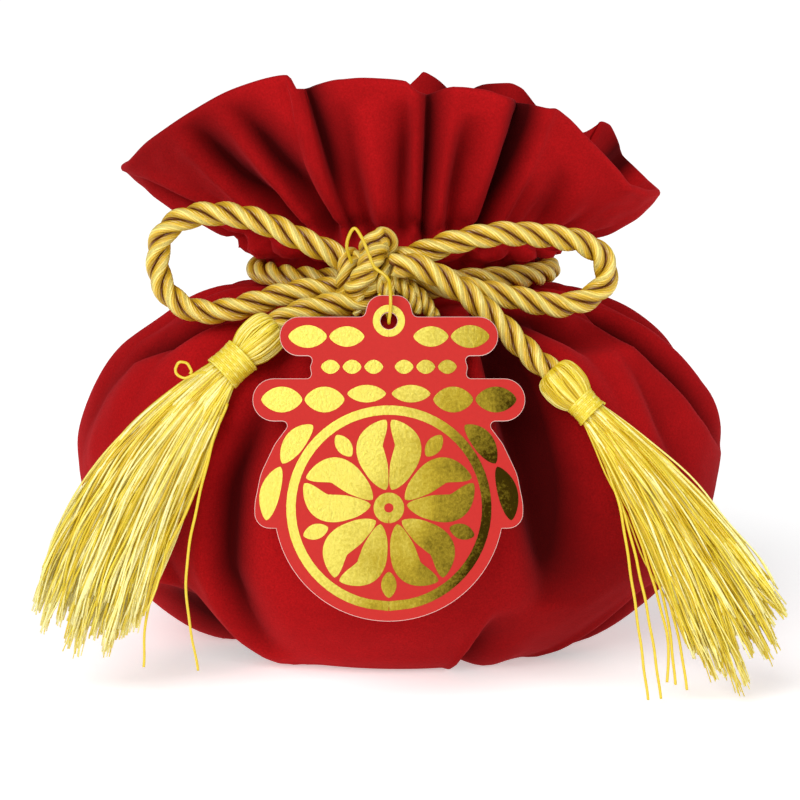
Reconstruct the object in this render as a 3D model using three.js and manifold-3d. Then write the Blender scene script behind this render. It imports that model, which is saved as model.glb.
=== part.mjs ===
// Velvet drawstring bag: gathered pouch, twisted drawcord tied in a bow, two tassels and a hanging card.
// Units are millimetres, +Z is up and the front faces -Y.
// The origin is the middle of the flattened base, on the surface that the bag stands on.
import * as THREE from "three";
import { mergeVertices } from "three/addons/utils/BufferGeometryUtils.js";
import Module from "manifold-3d";

const manifoldModule = await Module();
manifoldModule.setup();
const { Manifold, Mesh: ManifoldMesh } = manifoldModule;

// Cloth wall.
const CLOTH_THICKNESS = 1.6;
const WALL_COLUMNS = 84;
const GATHER_COUNT = 21;
const RIM_SHIFT = -1.6;
const LOBE_BULGE = 1.6;

// Drawcord, thread and card.
const CORD_DIAMETER = 4.5;
const CORD_SIDES = 8;
const CORD_GAP = 0.3;
const NECK_CORD_GAP = 0.5;
const THREAD_DIAMETER = 0.8;
const CARD_THICKNESS = 1.2;
const CARD_TILT_DEG = 13;
const CARD_HOLE_DIAMETER = 2.9;
const CARD_HOLE_DROP = 4.4;
const CARD_TOP = { x: -1.7, y: -39.3, z: 69.6 };

// Tassels.
const HEAD_LENGTH = 8.0;
const HEAD_RADIUS = 4.0;
const BAND_LENGTH = 5.0;
const BAND_WALL = 0.9;
const TASSEL_NECK_RADIUS = 2.9;
const LOCK_COUNT = 8;
const LOCK_SIDES = 6;
const LOCK_STEPS = 5;

// One row for each ring of the wall, from the base to the rim.
// height: height of the ring at the front; droop: share of the rim's drop that the ring takes;
// gather: height of the neck gathers; ruffle, fold and pleat: shares of the three crease tables.
const SECTIONS = [
  { height: 0.0, droop: 0, halfWidth: 16.0, halfDepth: 14.0, gather: 0, ruffle: 0, fold: 0, pleat: 0 },
  { height: 0.0, droop: 0, halfWidth: 30.5, halfDepth: 27.5, gather: 0, ruffle: 0, fold: 0, pleat: 0 },
  { height: 2.0, droop: 0, halfWidth: 37.5, halfDepth: 33.0, gather: 0, ruffle: 0, fold: 0, pleat: 1 },
  { height: 6.5, droop: 0, halfWidth: 45.2, halfDepth: 37.4, gather: 0, ruffle: 0, fold: 0.1, pleat: 0.9 },
  { height: 13.5, droop: 0, halfWidth: 52.8, halfDepth: 41.8, gather: 0, ruffle: 0, fold: 0.3, pleat: 0.5 },
  { height: 23.0, droop: 0, halfWidth: 59.2, halfDepth: 44.6, gather: 0, ruffle: 0, fold: 0.6, pleat: 0.2 },
  { height: 36.0, droop: 0, halfWidth: 62.0, halfDepth: 45.5, gather: 0, ruffle: 0, fold: 0.85, pleat: 0 },
  { height: 46.0, droop: 0, halfWidth: 59.6, halfDepth: 43.8, gather: 0.2, ruffle: 0, fold: 1, pleat: 0 },
  { height: 54.0, droop: 0, halfWidth: 54.4, halfDepth: 39.8, gather: 0.5, ruffle: 0, fold: 1, pleat: 0 },
  { height: 60.0, droop: 0, halfWidth: 47.2, halfDepth: 34.2, gather: 0.9, ruffle: 0, fold: 0.8, pleat: 0 },
  { height: 64.2, droop: 0, halfWidth: 39.4, halfDepth: 27.8, gather: 1.2, ruffle: 0, fold: 0.4, pleat: 0 },
  { height: 65.8, droop: 0, halfWidth: 32.6, halfDepth: 23.0, gather: 0.9, ruffle: 0, fold: 0.1, pleat: 0 },
  { height: 67.2, droop: 0, halfWidth: 25.0, halfDepth: 17.2, gather: 0.6, ruffle: 0, fold: 0, pleat: 0 },
  { height: 72.2, droop: 0, halfWidth: 25.0, halfDepth: 17.2, gather: 0.6, ruffle: 0, fold: 0, pleat: 0 },
  { height: 74.2, droop: 0.05, halfWidth: 28.4, halfDepth: 20.6, gather: 1.1, ruffle: 0.05, fold: 0, pleat: 0 },
  { height: 77.5, droop: 0.14, halfWidth: 28.8, halfDepth: 20.6, gather: 1.6, ruffle: 0.15, fold: 0, pleat: 0 },
  { height: 84.5, droop: 0.37, halfWidth: 34.0, halfDepth: 22.4, gather: 1.0, ruffle: 0.45, fold: 0, pleat: 0 },
  { height: 92.0, droop: 0.6, halfWidth: 39.6, halfDepth: 25.0, gather: 0.4, ruffle: 0.75, fold: 0, pleat: 0 },
  { height: 99.8, droop: 0.83, halfWidth: 44.8, halfDepth: 27.8, gather: 0.1, ruffle: 0.92, fold: 0, pleat: 0 },
  { height: 105.4, droop: 1, halfWidth: 48.2, halfDepth: 30.0, gather: 0, ruffle: 1, fold: 0, pleat: 0 },
];

// How far the rim hangs below its highest level around the mouth, lobe by lobe.
// Angles are degrees from the front, positive towards +X.
const RIM_DROPS = [
  { angle: -90, drop: 14.6 },
  { angle: -79, drop: 13.3 },
  { angle: -63, drop: 10.1 },
  { angle: -46, drop: 4.5 },
  { angle: -35, drop: 0.8 },
  { angle: -26, drop: -1.4 },
  { angle: -21, drop: -2.6 },
  { angle: -18.5, drop: 0.6 },
  { angle: -15, drop: 0.6 },
  { angle: -10, drop: -1.4 },
  { angle: -3, drop: -1.8 },
  { angle: 3.5, drop: -1.2 },
  { angle: 8, drop: 1.8 },
  { angle: 13, drop: -0.6 },
  { angle: 18, drop: 0.0 },
  { angle: 24.5, drop: 1.4 },
  { angle: 29, drop: 4.6 },
  { angle: 35, drop: 3.4 },
  { angle: 40, drop: 5.0 },
  { angle: 46, drop: 8.8 },
  { angle: 57, drop: 14.9 },
  { angle: 64, drop: 18.0 },
  { angle: 76, drop: 18.8 },
  { angle: 92, drop: 18.8 },
  { angle: 104, drop: 17.2 },
  { angle: 113, drop: 13.4 },
  { angle: 121, drop: 8.4 },
  { angle: 126, drop: 7.4 },
  { angle: 131, drop: 10.6 },
  { angle: 138, drop: 10.0 },
  { angle: 144, drop: 5.6 },
  { angle: 148, drop: 1.9 },
  { angle: 152, drop: 0.8 },
  { angle: 157, drop: 1.2 },
  { angle: 163, drop: 4.0 },
  { angle: 166, drop: 3.6 },
  { angle: 170, drop: 0.3 },
  { angle: 172.5, drop: -0.8 },
  { angle: 175, drop: 0.6 },
  { angle: 180, drop: 4.0 },
  { angle: 200, drop: 6.0 },
  { angle: 215, drop: 7.5 },
  { angle: 232, drop: 10.5 },
  { angle: 252, drop: 14.5 },
];

// Creases of the ruffle: the angle at the rim and the sideways lean down to the neck.
// A negative depth is a ridge, for the two pointed ends of the mouth.
const RUFFLE_CREASES = [
  { angle: -19, lean: 0, halfWidth: 5, depth: 4.5 },
  { angle: 6, lean: 0, halfWidth: 5.5, depth: 7.0 },
  { angle: 27, lean: 10, halfWidth: 6, depth: 8.5 },
  { angle: 86, lean: 0, halfWidth: 8, depth: -2.2 },
  { angle: 110, lean: 0, halfWidth: 7, depth: 6.0 },
  { angle: 137, lean: 0, halfWidth: 8, depth: 6.5 },
  { angle: 164, lean: 0, halfWidth: 7, depth: 6.5 },
  { angle: 191, lean: 0, halfWidth: 8, depth: 6.0 },
  { angle: 216, lean: 0, halfWidth: 7, depth: 6.5 },
  { angle: 243, lean: 0, halfWidth: 8, depth: 6.0 },
  { angle: 277, lean: 0, halfWidth: 8, depth: -1.0 },
];

// Soft folds of the belly: the angle at the shoulder and the sideways lean down to the base.
const BELLY_FOLDS = [
  { angle: 20, lean: 8, halfWidth: 8, depth: 4.0 },
  { angle: 50, lean: 22, halfWidth: 9, depth: 3.2 },
  { angle: 74, lean: 6, halfWidth: 7, depth: 1.6 },
  { angle: 112, lean: 8, halfWidth: 10, depth: 2.6 },
  { angle: 146, lean: 4, halfWidth: 9, depth: 2.4 },
  { angle: 178, lean: -6, halfWidth: 9, depth: 2.0 },
  { angle: 212, lean: -6, halfWidth: 9, depth: 2.4 },
  { angle: 246, lean: -8, halfWidth: 10, depth: 2.6 },
  { angle: 286, lean: -4, halfWidth: 7, depth: 1.6 },
  { angle: 306, lean: -18, halfWidth: 9, depth: 3.2 },
  { angle: 322, lean: -4, halfWidth: 9, depth: 2.6 },
  { angle: 346, lean: 0, halfWidth: 8, depth: 1.4 },
];

// Pleats where the cloth is drawn under the base.
const BASE_PLEATS = [
  { angle: 16, halfWidth: 7, depth: 2.4 },
  { angle: 61, halfWidth: 8, depth: 2.8 },
  { angle: 105, halfWidth: 8, depth: 2.4 },
  { angle: 148, halfWidth: 8, depth: 2.6 },
  { angle: 192, halfWidth: 8, depth: 2.4 },
  { angle: 238, halfWidth: 8, depth: 2.6 },
  { angle: 294, halfWidth: 8, depth: 2.8 },
  { angle: 333, halfWidth: 7, depth: 2.0 },
];

// Cord routes: the centre line from the knot outwards.
const LOOP_LEFT_ROUTE = [
  [-8.8, -27.8, 74.2], [-13.0, -28.4, 76.3], [-18.0, -28.6, 78.6], [-23.0, -28.0, 80.8], [-28.2, -27.0, 82.2],
  [-33.2, -26.0, 82.5], [-37.8, -25.2, 81.6], [-41.0, -24.6, 79.6], [-42.6, -24.2, 76.6], [-42.8, -24.2, 73.2],
  [-42.2, -24.4, 70.0], [-40.2, -24.8, 67.2], [-37.0, -25.4, 65.4], [-33.4, -26.0, 65.0], [-29.4, -26.8, 65.6],
  [-24.8, -27.4, 67.0], [-20.0, -27.8, 68.4], [-15.4, -27.8, 69.2], [-9.5, -27.6, 69.3],
];
const LOOP_RIGHT_ROUTE = [
  [0.0, -28.0, 74.6], [4.2, -28.6, 75.9], [8.2, -29.4, 77.4], [13.0, -29.6, 78.6], [17.8, -29.0, 79.2],
  [22.6, -27.8, 79.0], [27.4, -26.4, 78.4], [32.0, -25.2, 77.4], [35.4, -24.4, 75.4], [36.9, -24.0, 72.6],
  [36.6, -24.2, 69.8], [34.2, -25.0, 67.6], [30.6, -26.2, 66.4], [26.6, -27.2, 66.4], [22.2, -27.8, 67.4],
  [17.8, -28.2, 68.4], [13.4, -28.2, 69.2], [9.0, -28.0, 69.7], [5.0, -27.8, 69.7], [0.9, -27.8, 69.5],
];
const TAIL_LEFT_ROUTE = [
  [-7.7, -32.6, 67.5], [-11.4, -32.9, 67.2], [-15.0, -33.0, 66.6], [-18.2, -33.8, 65.6], [-20.6, -34.5, 64.5],
];
const TAIL_RIGHT_ROUTE = [
  [-1.1, -33.8, 74.1], [2.2, -34.1, 74.3], [5.8, -34.2, 73.0], [9.2, -34.4, 71.0], [12.6, -34.6, 68.6],
  [15.8, -35.0, 65.8], [18.8, -35.6, 63.0], [21.4, -36.4, 60.4], [23.8, -37.4, 58.2], [25.6, -38.2, 56.9],
];
const THREAD_ROUTE = [
  [-3.8, -34.6, 69.4], [-2.8, -38.0, 70.8], [-2.2, -40.4, 70.9], [-1.9, -42.1, 69.6], [-1.8, -42.4, 67.4],
  [-1.7, -41.5, 65.6], [-1.7, -39.9, 65.0], [-1.8, -38.3, 65.7], [-2.6, -36.2, 66.9], [-3.8, -33.8, 68.0],
];

// Tassels: where the head starts, which way it points, and the two edges of the fringe
// halfway down and at its ragged end.
const TASSELS = [
  {
    side: "left",
    top: [-21.4, -35.0, 64.0],
    aim: [-32.0, -38.4, 54.6],
    middleOuter: [-49.8, -41.6, 42.4],
    middleInner: [-36.0, -43.2, 39.2],
    tipOuter: [-61.6, -43.0, 17.6],
    tipInner: [-45.6, -45.0, 11.6],
  },
  {
    side: "right",
    top: [26.4, -38.5, 56.4],
    aim: [34.6, -41.2, 48.1],
    middleOuter: [52.4, -45.0, 35.6],
    middleInner: [39.6, -47.0, 35.6],
    tipOuter: [65.6, -48.0, 15.8],
    tipInner: [52.4, -49.6, 7.4],
  },
];

// Half of the card's outline, from the top of its tab down: distance from the middle, drop from the top
// and radius of the corner.
const CARD_OUTLINE = [
  { x: 3.3, drop: 0.0, round: 2.6 }, { x: 4.2, drop: 3.7, round: 0 }, { x: 18.7, drop: 3.7, round: 3.3 },
  { x: 18.7, drop: 10.5, round: 3.3 }, { x: 12.8, drop: 10.5, round: 0 }, { x: 13.5, drop: 12.5, round: 0 },
  { x: 13.1, drop: 14.5, round: 0 }, { x: 23.3, drop: 14.5, round: 3.6 }, { x: 23.3, drop: 21.9, round: 3.6 },
  { x: 16.6, drop: 21.9, round: 0 }, { x: 19.5, drop: 25.8, round: 0 }, { x: 21.9, drop: 31.0, round: 0 },
  { x: 22.9, drop: 36.2, round: 0 }, { x: 22.9, drop: 40.6, round: 2.6 }, { x: 19.2, drop: 40.6, round: 0 },
];
const CORNER_ARCS = 3;
const CARD_DISC = { radius: 19.6, drop: 36.7, firstDeg: 17, arcs: 9 };

function degrees(value) {
  return (value * Math.PI) / 180;
}

// Difference between two angles in degrees, wrapped to the nearest turn.
function angleBetween(first, second) {
  return ((((first - second + 180) % 360) + 360) % 360) - 180;
}

// Sum of the dents of a crease table at one angle; down is the share of each crease's lean.
function creaseDepth(table, angle, down) {
  let depth = 0;
  for (const crease of table) {
    const middle = crease.angle + (crease.lean ?? 0) * down;
    const offset = angleBetween(angle, middle) / crease.halfWidth;
    depth += crease.depth * Math.exp(-offset * offset);
  }
  return depth;
}

// Round crests with sharp valleys between them, spread a little unevenly around the neck.
function gatherWave(angle) {
  const turn = degrees(angle);
  const uneven = turn + 0.03 * Math.sin(3 * turn + 1) + 0.02 * Math.sin(5 * turn + 2);
  return 2 * Math.abs(Math.cos((GATHER_COUNT * uneven) / 2)) - 4 / Math.PI;
}

// A row of the rim's table, counted on around the mouth past both ends of the table.
function rimRow(index) {
  const turns = Math.floor(index / RIM_DROPS.length);
  const row = RIM_DROPS[index - turns * RIM_DROPS.length];
  return { angle: row.angle + 360 * turns, drop: row.drop };
}

// Slope of the rim's drop at a row: the harmonic mean of the slopes on both sides, and level at a turning point.
function rimSlope(index) {
  const [before, here, after] = [rimRow(index - 1), rimRow(index), rimRow(index + 1)];
  const first = (here.drop - before.drop) / (here.angle - before.angle);
  const second = (after.drop - here.drop) / (after.angle - here.angle);
  return first * second > 0 ? (2 * first * second) / (first + second) : 0;
}

// The rim's drop at an angle: a cubic from one row of the table to the next.
function rimDrop(angle) {
  const start = RIM_DROPS[0].angle;
  const wrapped = start + ((((angle - start) % 360) + 360) % 360);
  const after = RIM_DROPS.findIndex((row) => row.angle > wrapped);
  const low = (after < 0 ? RIM_DROPS.length : after) - 1;
  const [last, next] = [rimRow(low), rimRow(low + 1)];
  const width = next.angle - last.angle;
  const t = (wrapped - last.angle) / width;
  const level = last.drop * (1 + 2 * t) * (1 - t) ** 2 + next.drop * t * t * (3 - 2 * t);
  return level + width * t * (1 - t) * (rimSlope(low) * (1 - t) - rimSlope(low + 1) * t);
}

// The smooth shape of the wall before any fold.
function smoothPoint(row, angle) {
  const turn = degrees(angle);
  return new THREE.Vector3(
    row.halfWidth * Math.sin(turn) + row.droop * RIM_SHIFT,
    -row.halfDepth * Math.cos(turn),
    row.height - row.droop * rimDrop(angle),
  );
}

// Outward direction of the smooth shape, from its neighbours around and along the wall.
function smoothNormal(index, angle) {
  if (index === 0) {
    return new THREE.Vector3(0, 0, -1);
  }
  const below = SECTIONS[index - 1];
  const above = SECTIONS[Math.min(index + 1, SECTIONS.length - 1)];
  const along = smoothPoint(above, angle).sub(smoothPoint(below, angle));
  const around = smoothPoint(SECTIONS[index], angle + 0.5).sub(smoothPoint(SECTIONS[index], angle - 0.5));
  return around.cross(along).normalize();
}

// A point of the wall: the smooth shape, moved out by the gathers and in by the creases and the cloth's depth.
function wallPoint(index, angle, inset) {
  const row = SECTIONS[index];
  const down = 1 - Math.min(1, row.height / SECTIONS[10].height);
  const bulge = LOBE_BULGE * row.ruffle;
  const dents =
    row.ruffle * creaseDepth(RUFFLE_CREASES, angle, 1 - row.ruffle) +
    row.fold * creaseDepth(BELLY_FOLDS, angle, down) +
    row.pleat * creaseDepth(BASE_PLEATS, angle, 0);
  const move = row.gather * gatherWave(angle) + bulge - dents - inset;
  return smoothPoint(row, angle).addScaledVector(smoothNormal(index, angle), move);
}

function buildBagWall() {
  const positions = [];
  const indices = [];
  const ringCount = SECTIONS.length;
  for (const inset of [0, CLOTH_THICKNESS]) {
    for (let ring = 0; ring < ringCount; ring += 1) {
      for (let column = 0; column < WALL_COLUMNS; column += 1) {
        positions.push(...wallPoint(ring, (360 * column) / WALL_COLUMNS, inset).toArray());
      }
    }
  }
  const outerMiddle = positions.length / 3;
  positions.push(0, 0, 0);
  const innerMiddle = outerMiddle + 1;
  positions.push(0, 0, CLOTH_THICKNESS);
  const vertex = (ring, column) => ring * WALL_COLUMNS + (column % WALL_COLUMNS);
  const quad = (a, b, c, d) => indices.push(a, b, c, a, c, d);
  for (let column = 0; column < WALL_COLUMNS; column += 1) {
    const next = column + 1;
    for (let ring = 0; ring < ringCount - 1; ring += 1) {
      quad(vertex(ring, column), vertex(ring, next), vertex(ring + 1, next), vertex(ring + 1, column));
      const inner = ring + ringCount;
      quad(vertex(inner, next), vertex(inner, column), vertex(inner + 1, column), vertex(inner + 1, next));
    }
    const rim = ringCount - 1;
    const innerRim = 2 * ringCount - 1;
    quad(vertex(rim, column), vertex(rim, next), vertex(innerRim, next), vertex(innerRim, column));
    indices.push(outerMiddle, vertex(0, next), vertex(0, column));
    indices.push(innerMiddle, vertex(ringCount, column), vertex(ringCount, next));
  }
  const geometry = new THREE.BufferGeometry();
  geometry.setAttribute("position", new THREE.Float32BufferAttribute(positions, 3));
  geometry.setIndex(indices);
  return geometry;
}

// A round tube along a route.
function tube(route, diameter, steps) {
  const path = new THREE.CatmullRomCurve3(route.map((point) => new THREE.Vector3(...point)));
  const section = new THREE.Shape();
  for (let side = 0; side < CORD_SIDES; side += 1) {
    const turn = (2 * Math.PI * side) / CORD_SIDES;
    const x = 0.5 * diameter * Math.cos(turn);
    const y = 0.5 * diameter * Math.sin(turn);
    if (side === 0) {
      section.moveTo(x, y);
    } else {
      section.lineTo(x, y);
    }
  }
  section.closePath();
  return new THREE.ExtrudeGeometry(section, { steps, extrudePath: path, bevelEnabled: false });
}

// The drawcord around the neck: an oval just outside the gathers, open where the knot covers its ends.
function buildNeckCord() {
  const groove = SECTIONS[12];
  const out = groove.gather * (2 - 4 / Math.PI) + NECK_CORD_GAP + 0.5 * CORD_DIAMETER;
  const height = 0.5 * (SECTIONS[12].height + SECTIONS[13].height);
  const knotAngle = -10;
  const route = [];
  const stops = 36;
  for (let stop = 0; stop <= stops; stop += 1) {
    const turn = degrees(knotAngle + 4 + (352 * stop) / stops);
    route.push([
      (groove.halfWidth + out) * Math.sin(turn),
      -(groove.halfDepth + out) * Math.cos(turn),
      height,
    ]);
  }
  return tube(route, CORD_DIAMETER, 35);
}

// The knot: a rounded cushion with the slanting wrap of the bow's middle standing out of it.
function buildKnot() {
  const cushion = new THREE.SphereGeometry(1, 10, 8).scale(4.6, 3.6, 4.6);
  const wrap = new THREE.TorusGeometry(3.6, 2.0, 6, 12).scale(1, 1.1, 1).rotateY(degrees(118));
  const parts = [cushion, wrap].map((geometry) => geometry.translate(-4.3, -28.4, 71.6));
  return fuse(parts);
}

function toManifold(geometry) {
  const bare = new THREE.BufferGeometry();
  bare.setAttribute("position", geometry.getAttribute("position"));
  if (geometry.index) {
    bare.setIndex(geometry.index);
  }
  const welded = mergeVertices(bare, 1e-4);
  const mesh = new ManifoldMesh({
    numProp: 3,
    vertProperties: new Float32Array(welded.getAttribute("position").array),
    triVerts: new Uint32Array(welded.index.array),
  });
  mesh.merge();
  return new Manifold(mesh);
}

function fromManifold(solid) {
  const mesh = solid.getMesh();
  const geometry = new THREE.BufferGeometry();
  geometry.setAttribute("position", new THREE.Float32BufferAttribute(mesh.vertProperties, 3));
  geometry.setIndex(new THREE.Uint32BufferAttribute(mesh.triVerts, 1));
  return geometry;
}

function fuse(geometries) {
  return fromManifold(Manifold.union(geometries.map(toManifold)));
}

// Turns a shape made along +Z so that it runs from one point towards another.
function aimAlong(geometry, from, to) {
  const direction = new THREE.Vector3(...to).sub(new THREE.Vector3(...from)).normalize();
  const turn = new THREE.Quaternion().setFromUnitVectors(new THREE.Vector3(0, 0, 1), direction);
  return geometry.applyQuaternion(turn).translate(...from);
}

// A lathe along +Z from rows of radius and distance.
function turned(rows, segments) {
  const profile = rows.map(([radius, along]) => new THREE.Vector2(radius, along));
  return new THREE.LatheGeometry(profile, segments).rotateX(degrees(90));
}

// One lock of the fringe: a tapering tube that leaves the neck and falls to its tip.
function buildLock(start, bend, tip) {
  const path = new THREE.QuadraticBezierCurve3(start, bend, tip);
  const positions = [];
  const indices = [];
  const frames = path.computeFrenetFrames(LOCK_STEPS, false);
  for (let step = 0; step <= LOCK_STEPS; step += 1) {
    const share = step / LOCK_STEPS;
    const middle = path.getPoint(share);
    const radius = 1.5 + 2.3 * Math.sin(Math.PI * (0.12 + 0.72 * share)) * share ** 0.6;
    for (let side = 0; side < LOCK_SIDES; side += 1) {
      const turn = (2 * Math.PI * side) / LOCK_SIDES;
      const point = middle.clone();
      point.addScaledVector(frames.normals[step], radius * Math.cos(turn));
      point.addScaledVector(frames.binormals[step], radius * Math.sin(turn));
      positions.push(...point.toArray());
    }
  }
  for (let step = 0; step < LOCK_STEPS; step += 1) {
    for (let side = 0; side < LOCK_SIDES; side += 1) {
      const next = (side + 1) % LOCK_SIDES;
      const a = step * LOCK_SIDES + side;
      const b = step * LOCK_SIDES + next;
      indices.push(a, b, b + LOCK_SIDES, a, b + LOCK_SIDES, a + LOCK_SIDES);
    }
  }
  for (let side = 1; side < LOCK_SIDES - 1; side += 1) {
    const last = LOCK_STEPS * LOCK_SIDES;
    indices.push(0, side + 1, side);
    indices.push(last, last + side, last + side + 1);
  }
  const geometry = new THREE.BufferGeometry();
  geometry.setAttribute("position", new THREE.Float32BufferAttribute(positions, 3));
  geometry.setIndex(indices);
  return geometry;
}

function buildTassel(tassel) {
  const top = new THREE.Vector3(...tassel.top);
  const direction = new THREE.Vector3(...tassel.aim).sub(top).normalize();
  const neckLength = HEAD_LENGTH + BAND_LENGTH;
  const head = turned(
    [
      [0, 0], [2.2, 0], [3.5, 0.9], [HEAD_RADIUS, 2.6], [HEAD_RADIUS, 5.4], [3.5, 7.2],
      [TASSEL_NECK_RADIUS, HEAD_LENGTH], [TASSEL_NECK_RADIUS, neckLength + 0.6], [0, neckLength + 0.6],
    ],
    14,
  );
  const pieces = [aimAlong(head, tassel.top, tassel.aim)];
  const root = top.clone().addScaledVector(direction, neckLength + 0.4);
  const between = (outer, inner, share) => new THREE.Vector3(...outer).lerp(new THREE.Vector3(...inner), share);
  for (let lock = 0; lock < LOCK_COUNT; lock += 1) {
    const share = lock / (LOCK_COUNT - 1);
    const tip = between(tassel.tipOuter, tassel.tipInner, share);
    tip.z += 2.0 * Math.sin(5 * lock) - 3.0 * Math.sin(Math.PI * share);
    tip.y += lock % 2 === 0 ? -1.6 : 1.2;
    const middle = between(tassel.middleOuter, tassel.middleInner, share);
    const bend = middle.multiplyScalar(2).addScaledVector(root, -0.5).addScaledVector(tip, -0.5);
    pieces.push(buildLock(root, bend, tip));
  }
  return fuse(pieces);
}

// The wound thread under a tassel's head: a ribbed sleeve that stands a little off the fringe's neck.
function buildBand(tassel) {
  const bore = TASSEL_NECK_RADIUS + CORD_GAP;
  const start = HEAD_LENGTH + CORD_GAP;
  const end = HEAD_LENGTH + BAND_LENGTH - 1.6;
  const rows = [[bore, start]];
  const windings = 4;
  for (let winding = 0; winding < windings; winding += 1) {
    const along = start + ((end - start) * (winding + 0.5)) / windings;
    rows.push([bore + BAND_WALL, along]);
    if (winding < windings - 1) {
      rows.push([bore + 0.7 * BAND_WALL, along + (end - start) / (2 * windings)]);
    }
  }
  rows.push([bore, end], [bore, start]);
  return aimAlong(turned(rows, 14), tassel.top, tassel.aim);
}

// Points of one corner of an outline: the corner itself, or an arc that leaves both sides at the same distance.
function cornerPoints(before, corner, after, round) {
  if (round === 0) {
    return [corner.toArray()];
  }
  const first = corner.clone().add(before.clone().sub(corner).setLength(round));
  const last = corner.clone().add(after.clone().sub(corner).setLength(round));
  const arc = new THREE.QuadraticBezierCurve(first, corner, last);
  return arc.getPoints(CORNER_ARCS).map((point) => point.toArray());
}

function buildCard() {
  const outline = new THREE.Shape();
  const corners = CARD_OUTLINE.map(({ x, drop }) => new THREE.Vector2(x, -drop));
  const half = CARD_OUTLINE.flatMap(({ round }, index) => {
    const before = corners[index - 1] ?? new THREE.Vector2(0, 0);
    return cornerPoints(before, corners[index], corners[index + 1], round);
  });
  const first = degrees(CARD_DISC.firstDeg);
  for (let arc = 0; arc < CARD_DISC.arcs; arc += 1) {
    const turn = first + ((0.5 * Math.PI - first) * arc) / CARD_DISC.arcs;
    half.push([CARD_DISC.radius * Math.cos(turn), -CARD_DISC.drop - CARD_DISC.radius * Math.sin(turn)]);
  }
  half.push([0, -CARD_DISC.drop - CARD_DISC.radius]);
  half.forEach(([x, y], index) => (index === 0 ? outline.moveTo(x, y) : outline.lineTo(x, y)));
  half
    .slice(0, -1)
    .reverse()
    .forEach(([x, y]) => outline.lineTo(-x, y));
  outline.closePath();
  const hole = new THREE.Path();
  hole.absarc(0, -CARD_HOLE_DROP, 0.5 * CARD_HOLE_DIAMETER, 0, 2 * Math.PI, false);
  outline.holes.push(hole);
  const plate = new THREE.ExtrudeGeometry(outline, {
    depth: CARD_THICKNESS,
    bevelEnabled: false,
    curveSegments: 8,
  });
  plate.rotateX(degrees(90 - CARD_TILT_DEG));
  return plate.translate(CARD_TOP.x, CARD_TOP.y, CARD_TOP.z);
}

function named(name, geometry, color, roughness, metalness) {
  const material = new THREE.MeshStandardMaterial({ color, roughness, metalness });
  const mesh = new THREE.Mesh(geometry, material);
  mesh.name = name;
  return mesh;
}

const VELVET_RED = 0x9c0f1b;
const CORD_GOLD = 0xcfa53a;
const FRINGE_GOLD = 0xe8cf6a;
const CARD_RED = 0xdf3a30;

const bag = new THREE.Group();
bag.name = "velvet_drawstring_bag";
bag.add(named("bag_wall", buildBagWall(), VELVET_RED, 0.9, 0));
bag.add(named("neck_cord", buildNeckCord(), CORD_GOLD, 0.5, 0.1));
bag.add(named("bow_knot", buildKnot(), CORD_GOLD, 0.5, 0.1));
bag.add(named("loop_left", tube(LOOP_LEFT_ROUTE, CORD_DIAMETER, 20), CORD_GOLD, 0.5, 0.1));
bag.add(named("loop_right", tube(LOOP_RIGHT_ROUTE, CORD_DIAMETER, 20), CORD_GOLD, 0.5, 0.1));
bag.add(named("tail_left", tube(TAIL_LEFT_ROUTE, CORD_DIAMETER, 4), CORD_GOLD, 0.5, 0.1));
bag.add(named("tail_right", tube(TAIL_RIGHT_ROUTE, CORD_DIAMETER, 8), CORD_GOLD, 0.5, 0.1));
for (const tassel of TASSELS) {
  bag.add(named(`tassel_${tassel.side}`, buildTassel(tassel), FRINGE_GOLD, 0.5, 0.1));
  bag.add(named(`band_${tassel.side}`, buildBand(tassel), CORD_GOLD, 0.5, 0.1));
}
bag.add(named("pendant_card", buildCard(), CARD_RED, 0.6, 0));
bag.add(named("pendant_thread", tube(THREAD_ROUTE, THREAD_DIAMETER, 13), CORD_GOLD, 0.6, 0));

export default bag;
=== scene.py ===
"""Dresses the velvet drawstring bag: gathered velvet, twisted cord in a bow, tassels and a foil card."""

import bmesh
import bpy
import numpy as np
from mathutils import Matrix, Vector


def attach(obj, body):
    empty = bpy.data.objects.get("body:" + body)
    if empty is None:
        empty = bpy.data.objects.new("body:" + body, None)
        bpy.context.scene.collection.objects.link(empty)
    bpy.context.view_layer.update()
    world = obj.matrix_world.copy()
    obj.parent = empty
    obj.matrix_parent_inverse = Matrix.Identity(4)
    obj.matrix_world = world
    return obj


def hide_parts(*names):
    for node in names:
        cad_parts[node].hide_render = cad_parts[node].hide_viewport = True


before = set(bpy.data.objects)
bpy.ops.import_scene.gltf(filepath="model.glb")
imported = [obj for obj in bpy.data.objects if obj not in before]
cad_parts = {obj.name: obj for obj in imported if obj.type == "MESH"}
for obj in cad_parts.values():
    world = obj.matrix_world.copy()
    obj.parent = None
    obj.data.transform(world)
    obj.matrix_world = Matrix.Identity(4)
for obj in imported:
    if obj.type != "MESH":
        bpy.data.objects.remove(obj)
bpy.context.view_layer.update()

bl_info = {
    "name": "Velvet drawstring bag",
    "version": (1, 0, 0),
    "blender": (4, 5, 0),
    "location": "View3D > Sidebar > Bag",
    "description": "Builds a gathered velvet pouch with a corded bow, tassels and a hanging card",
    "category": "Object",
}

MM = 0.001
BODY = "root"

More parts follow.
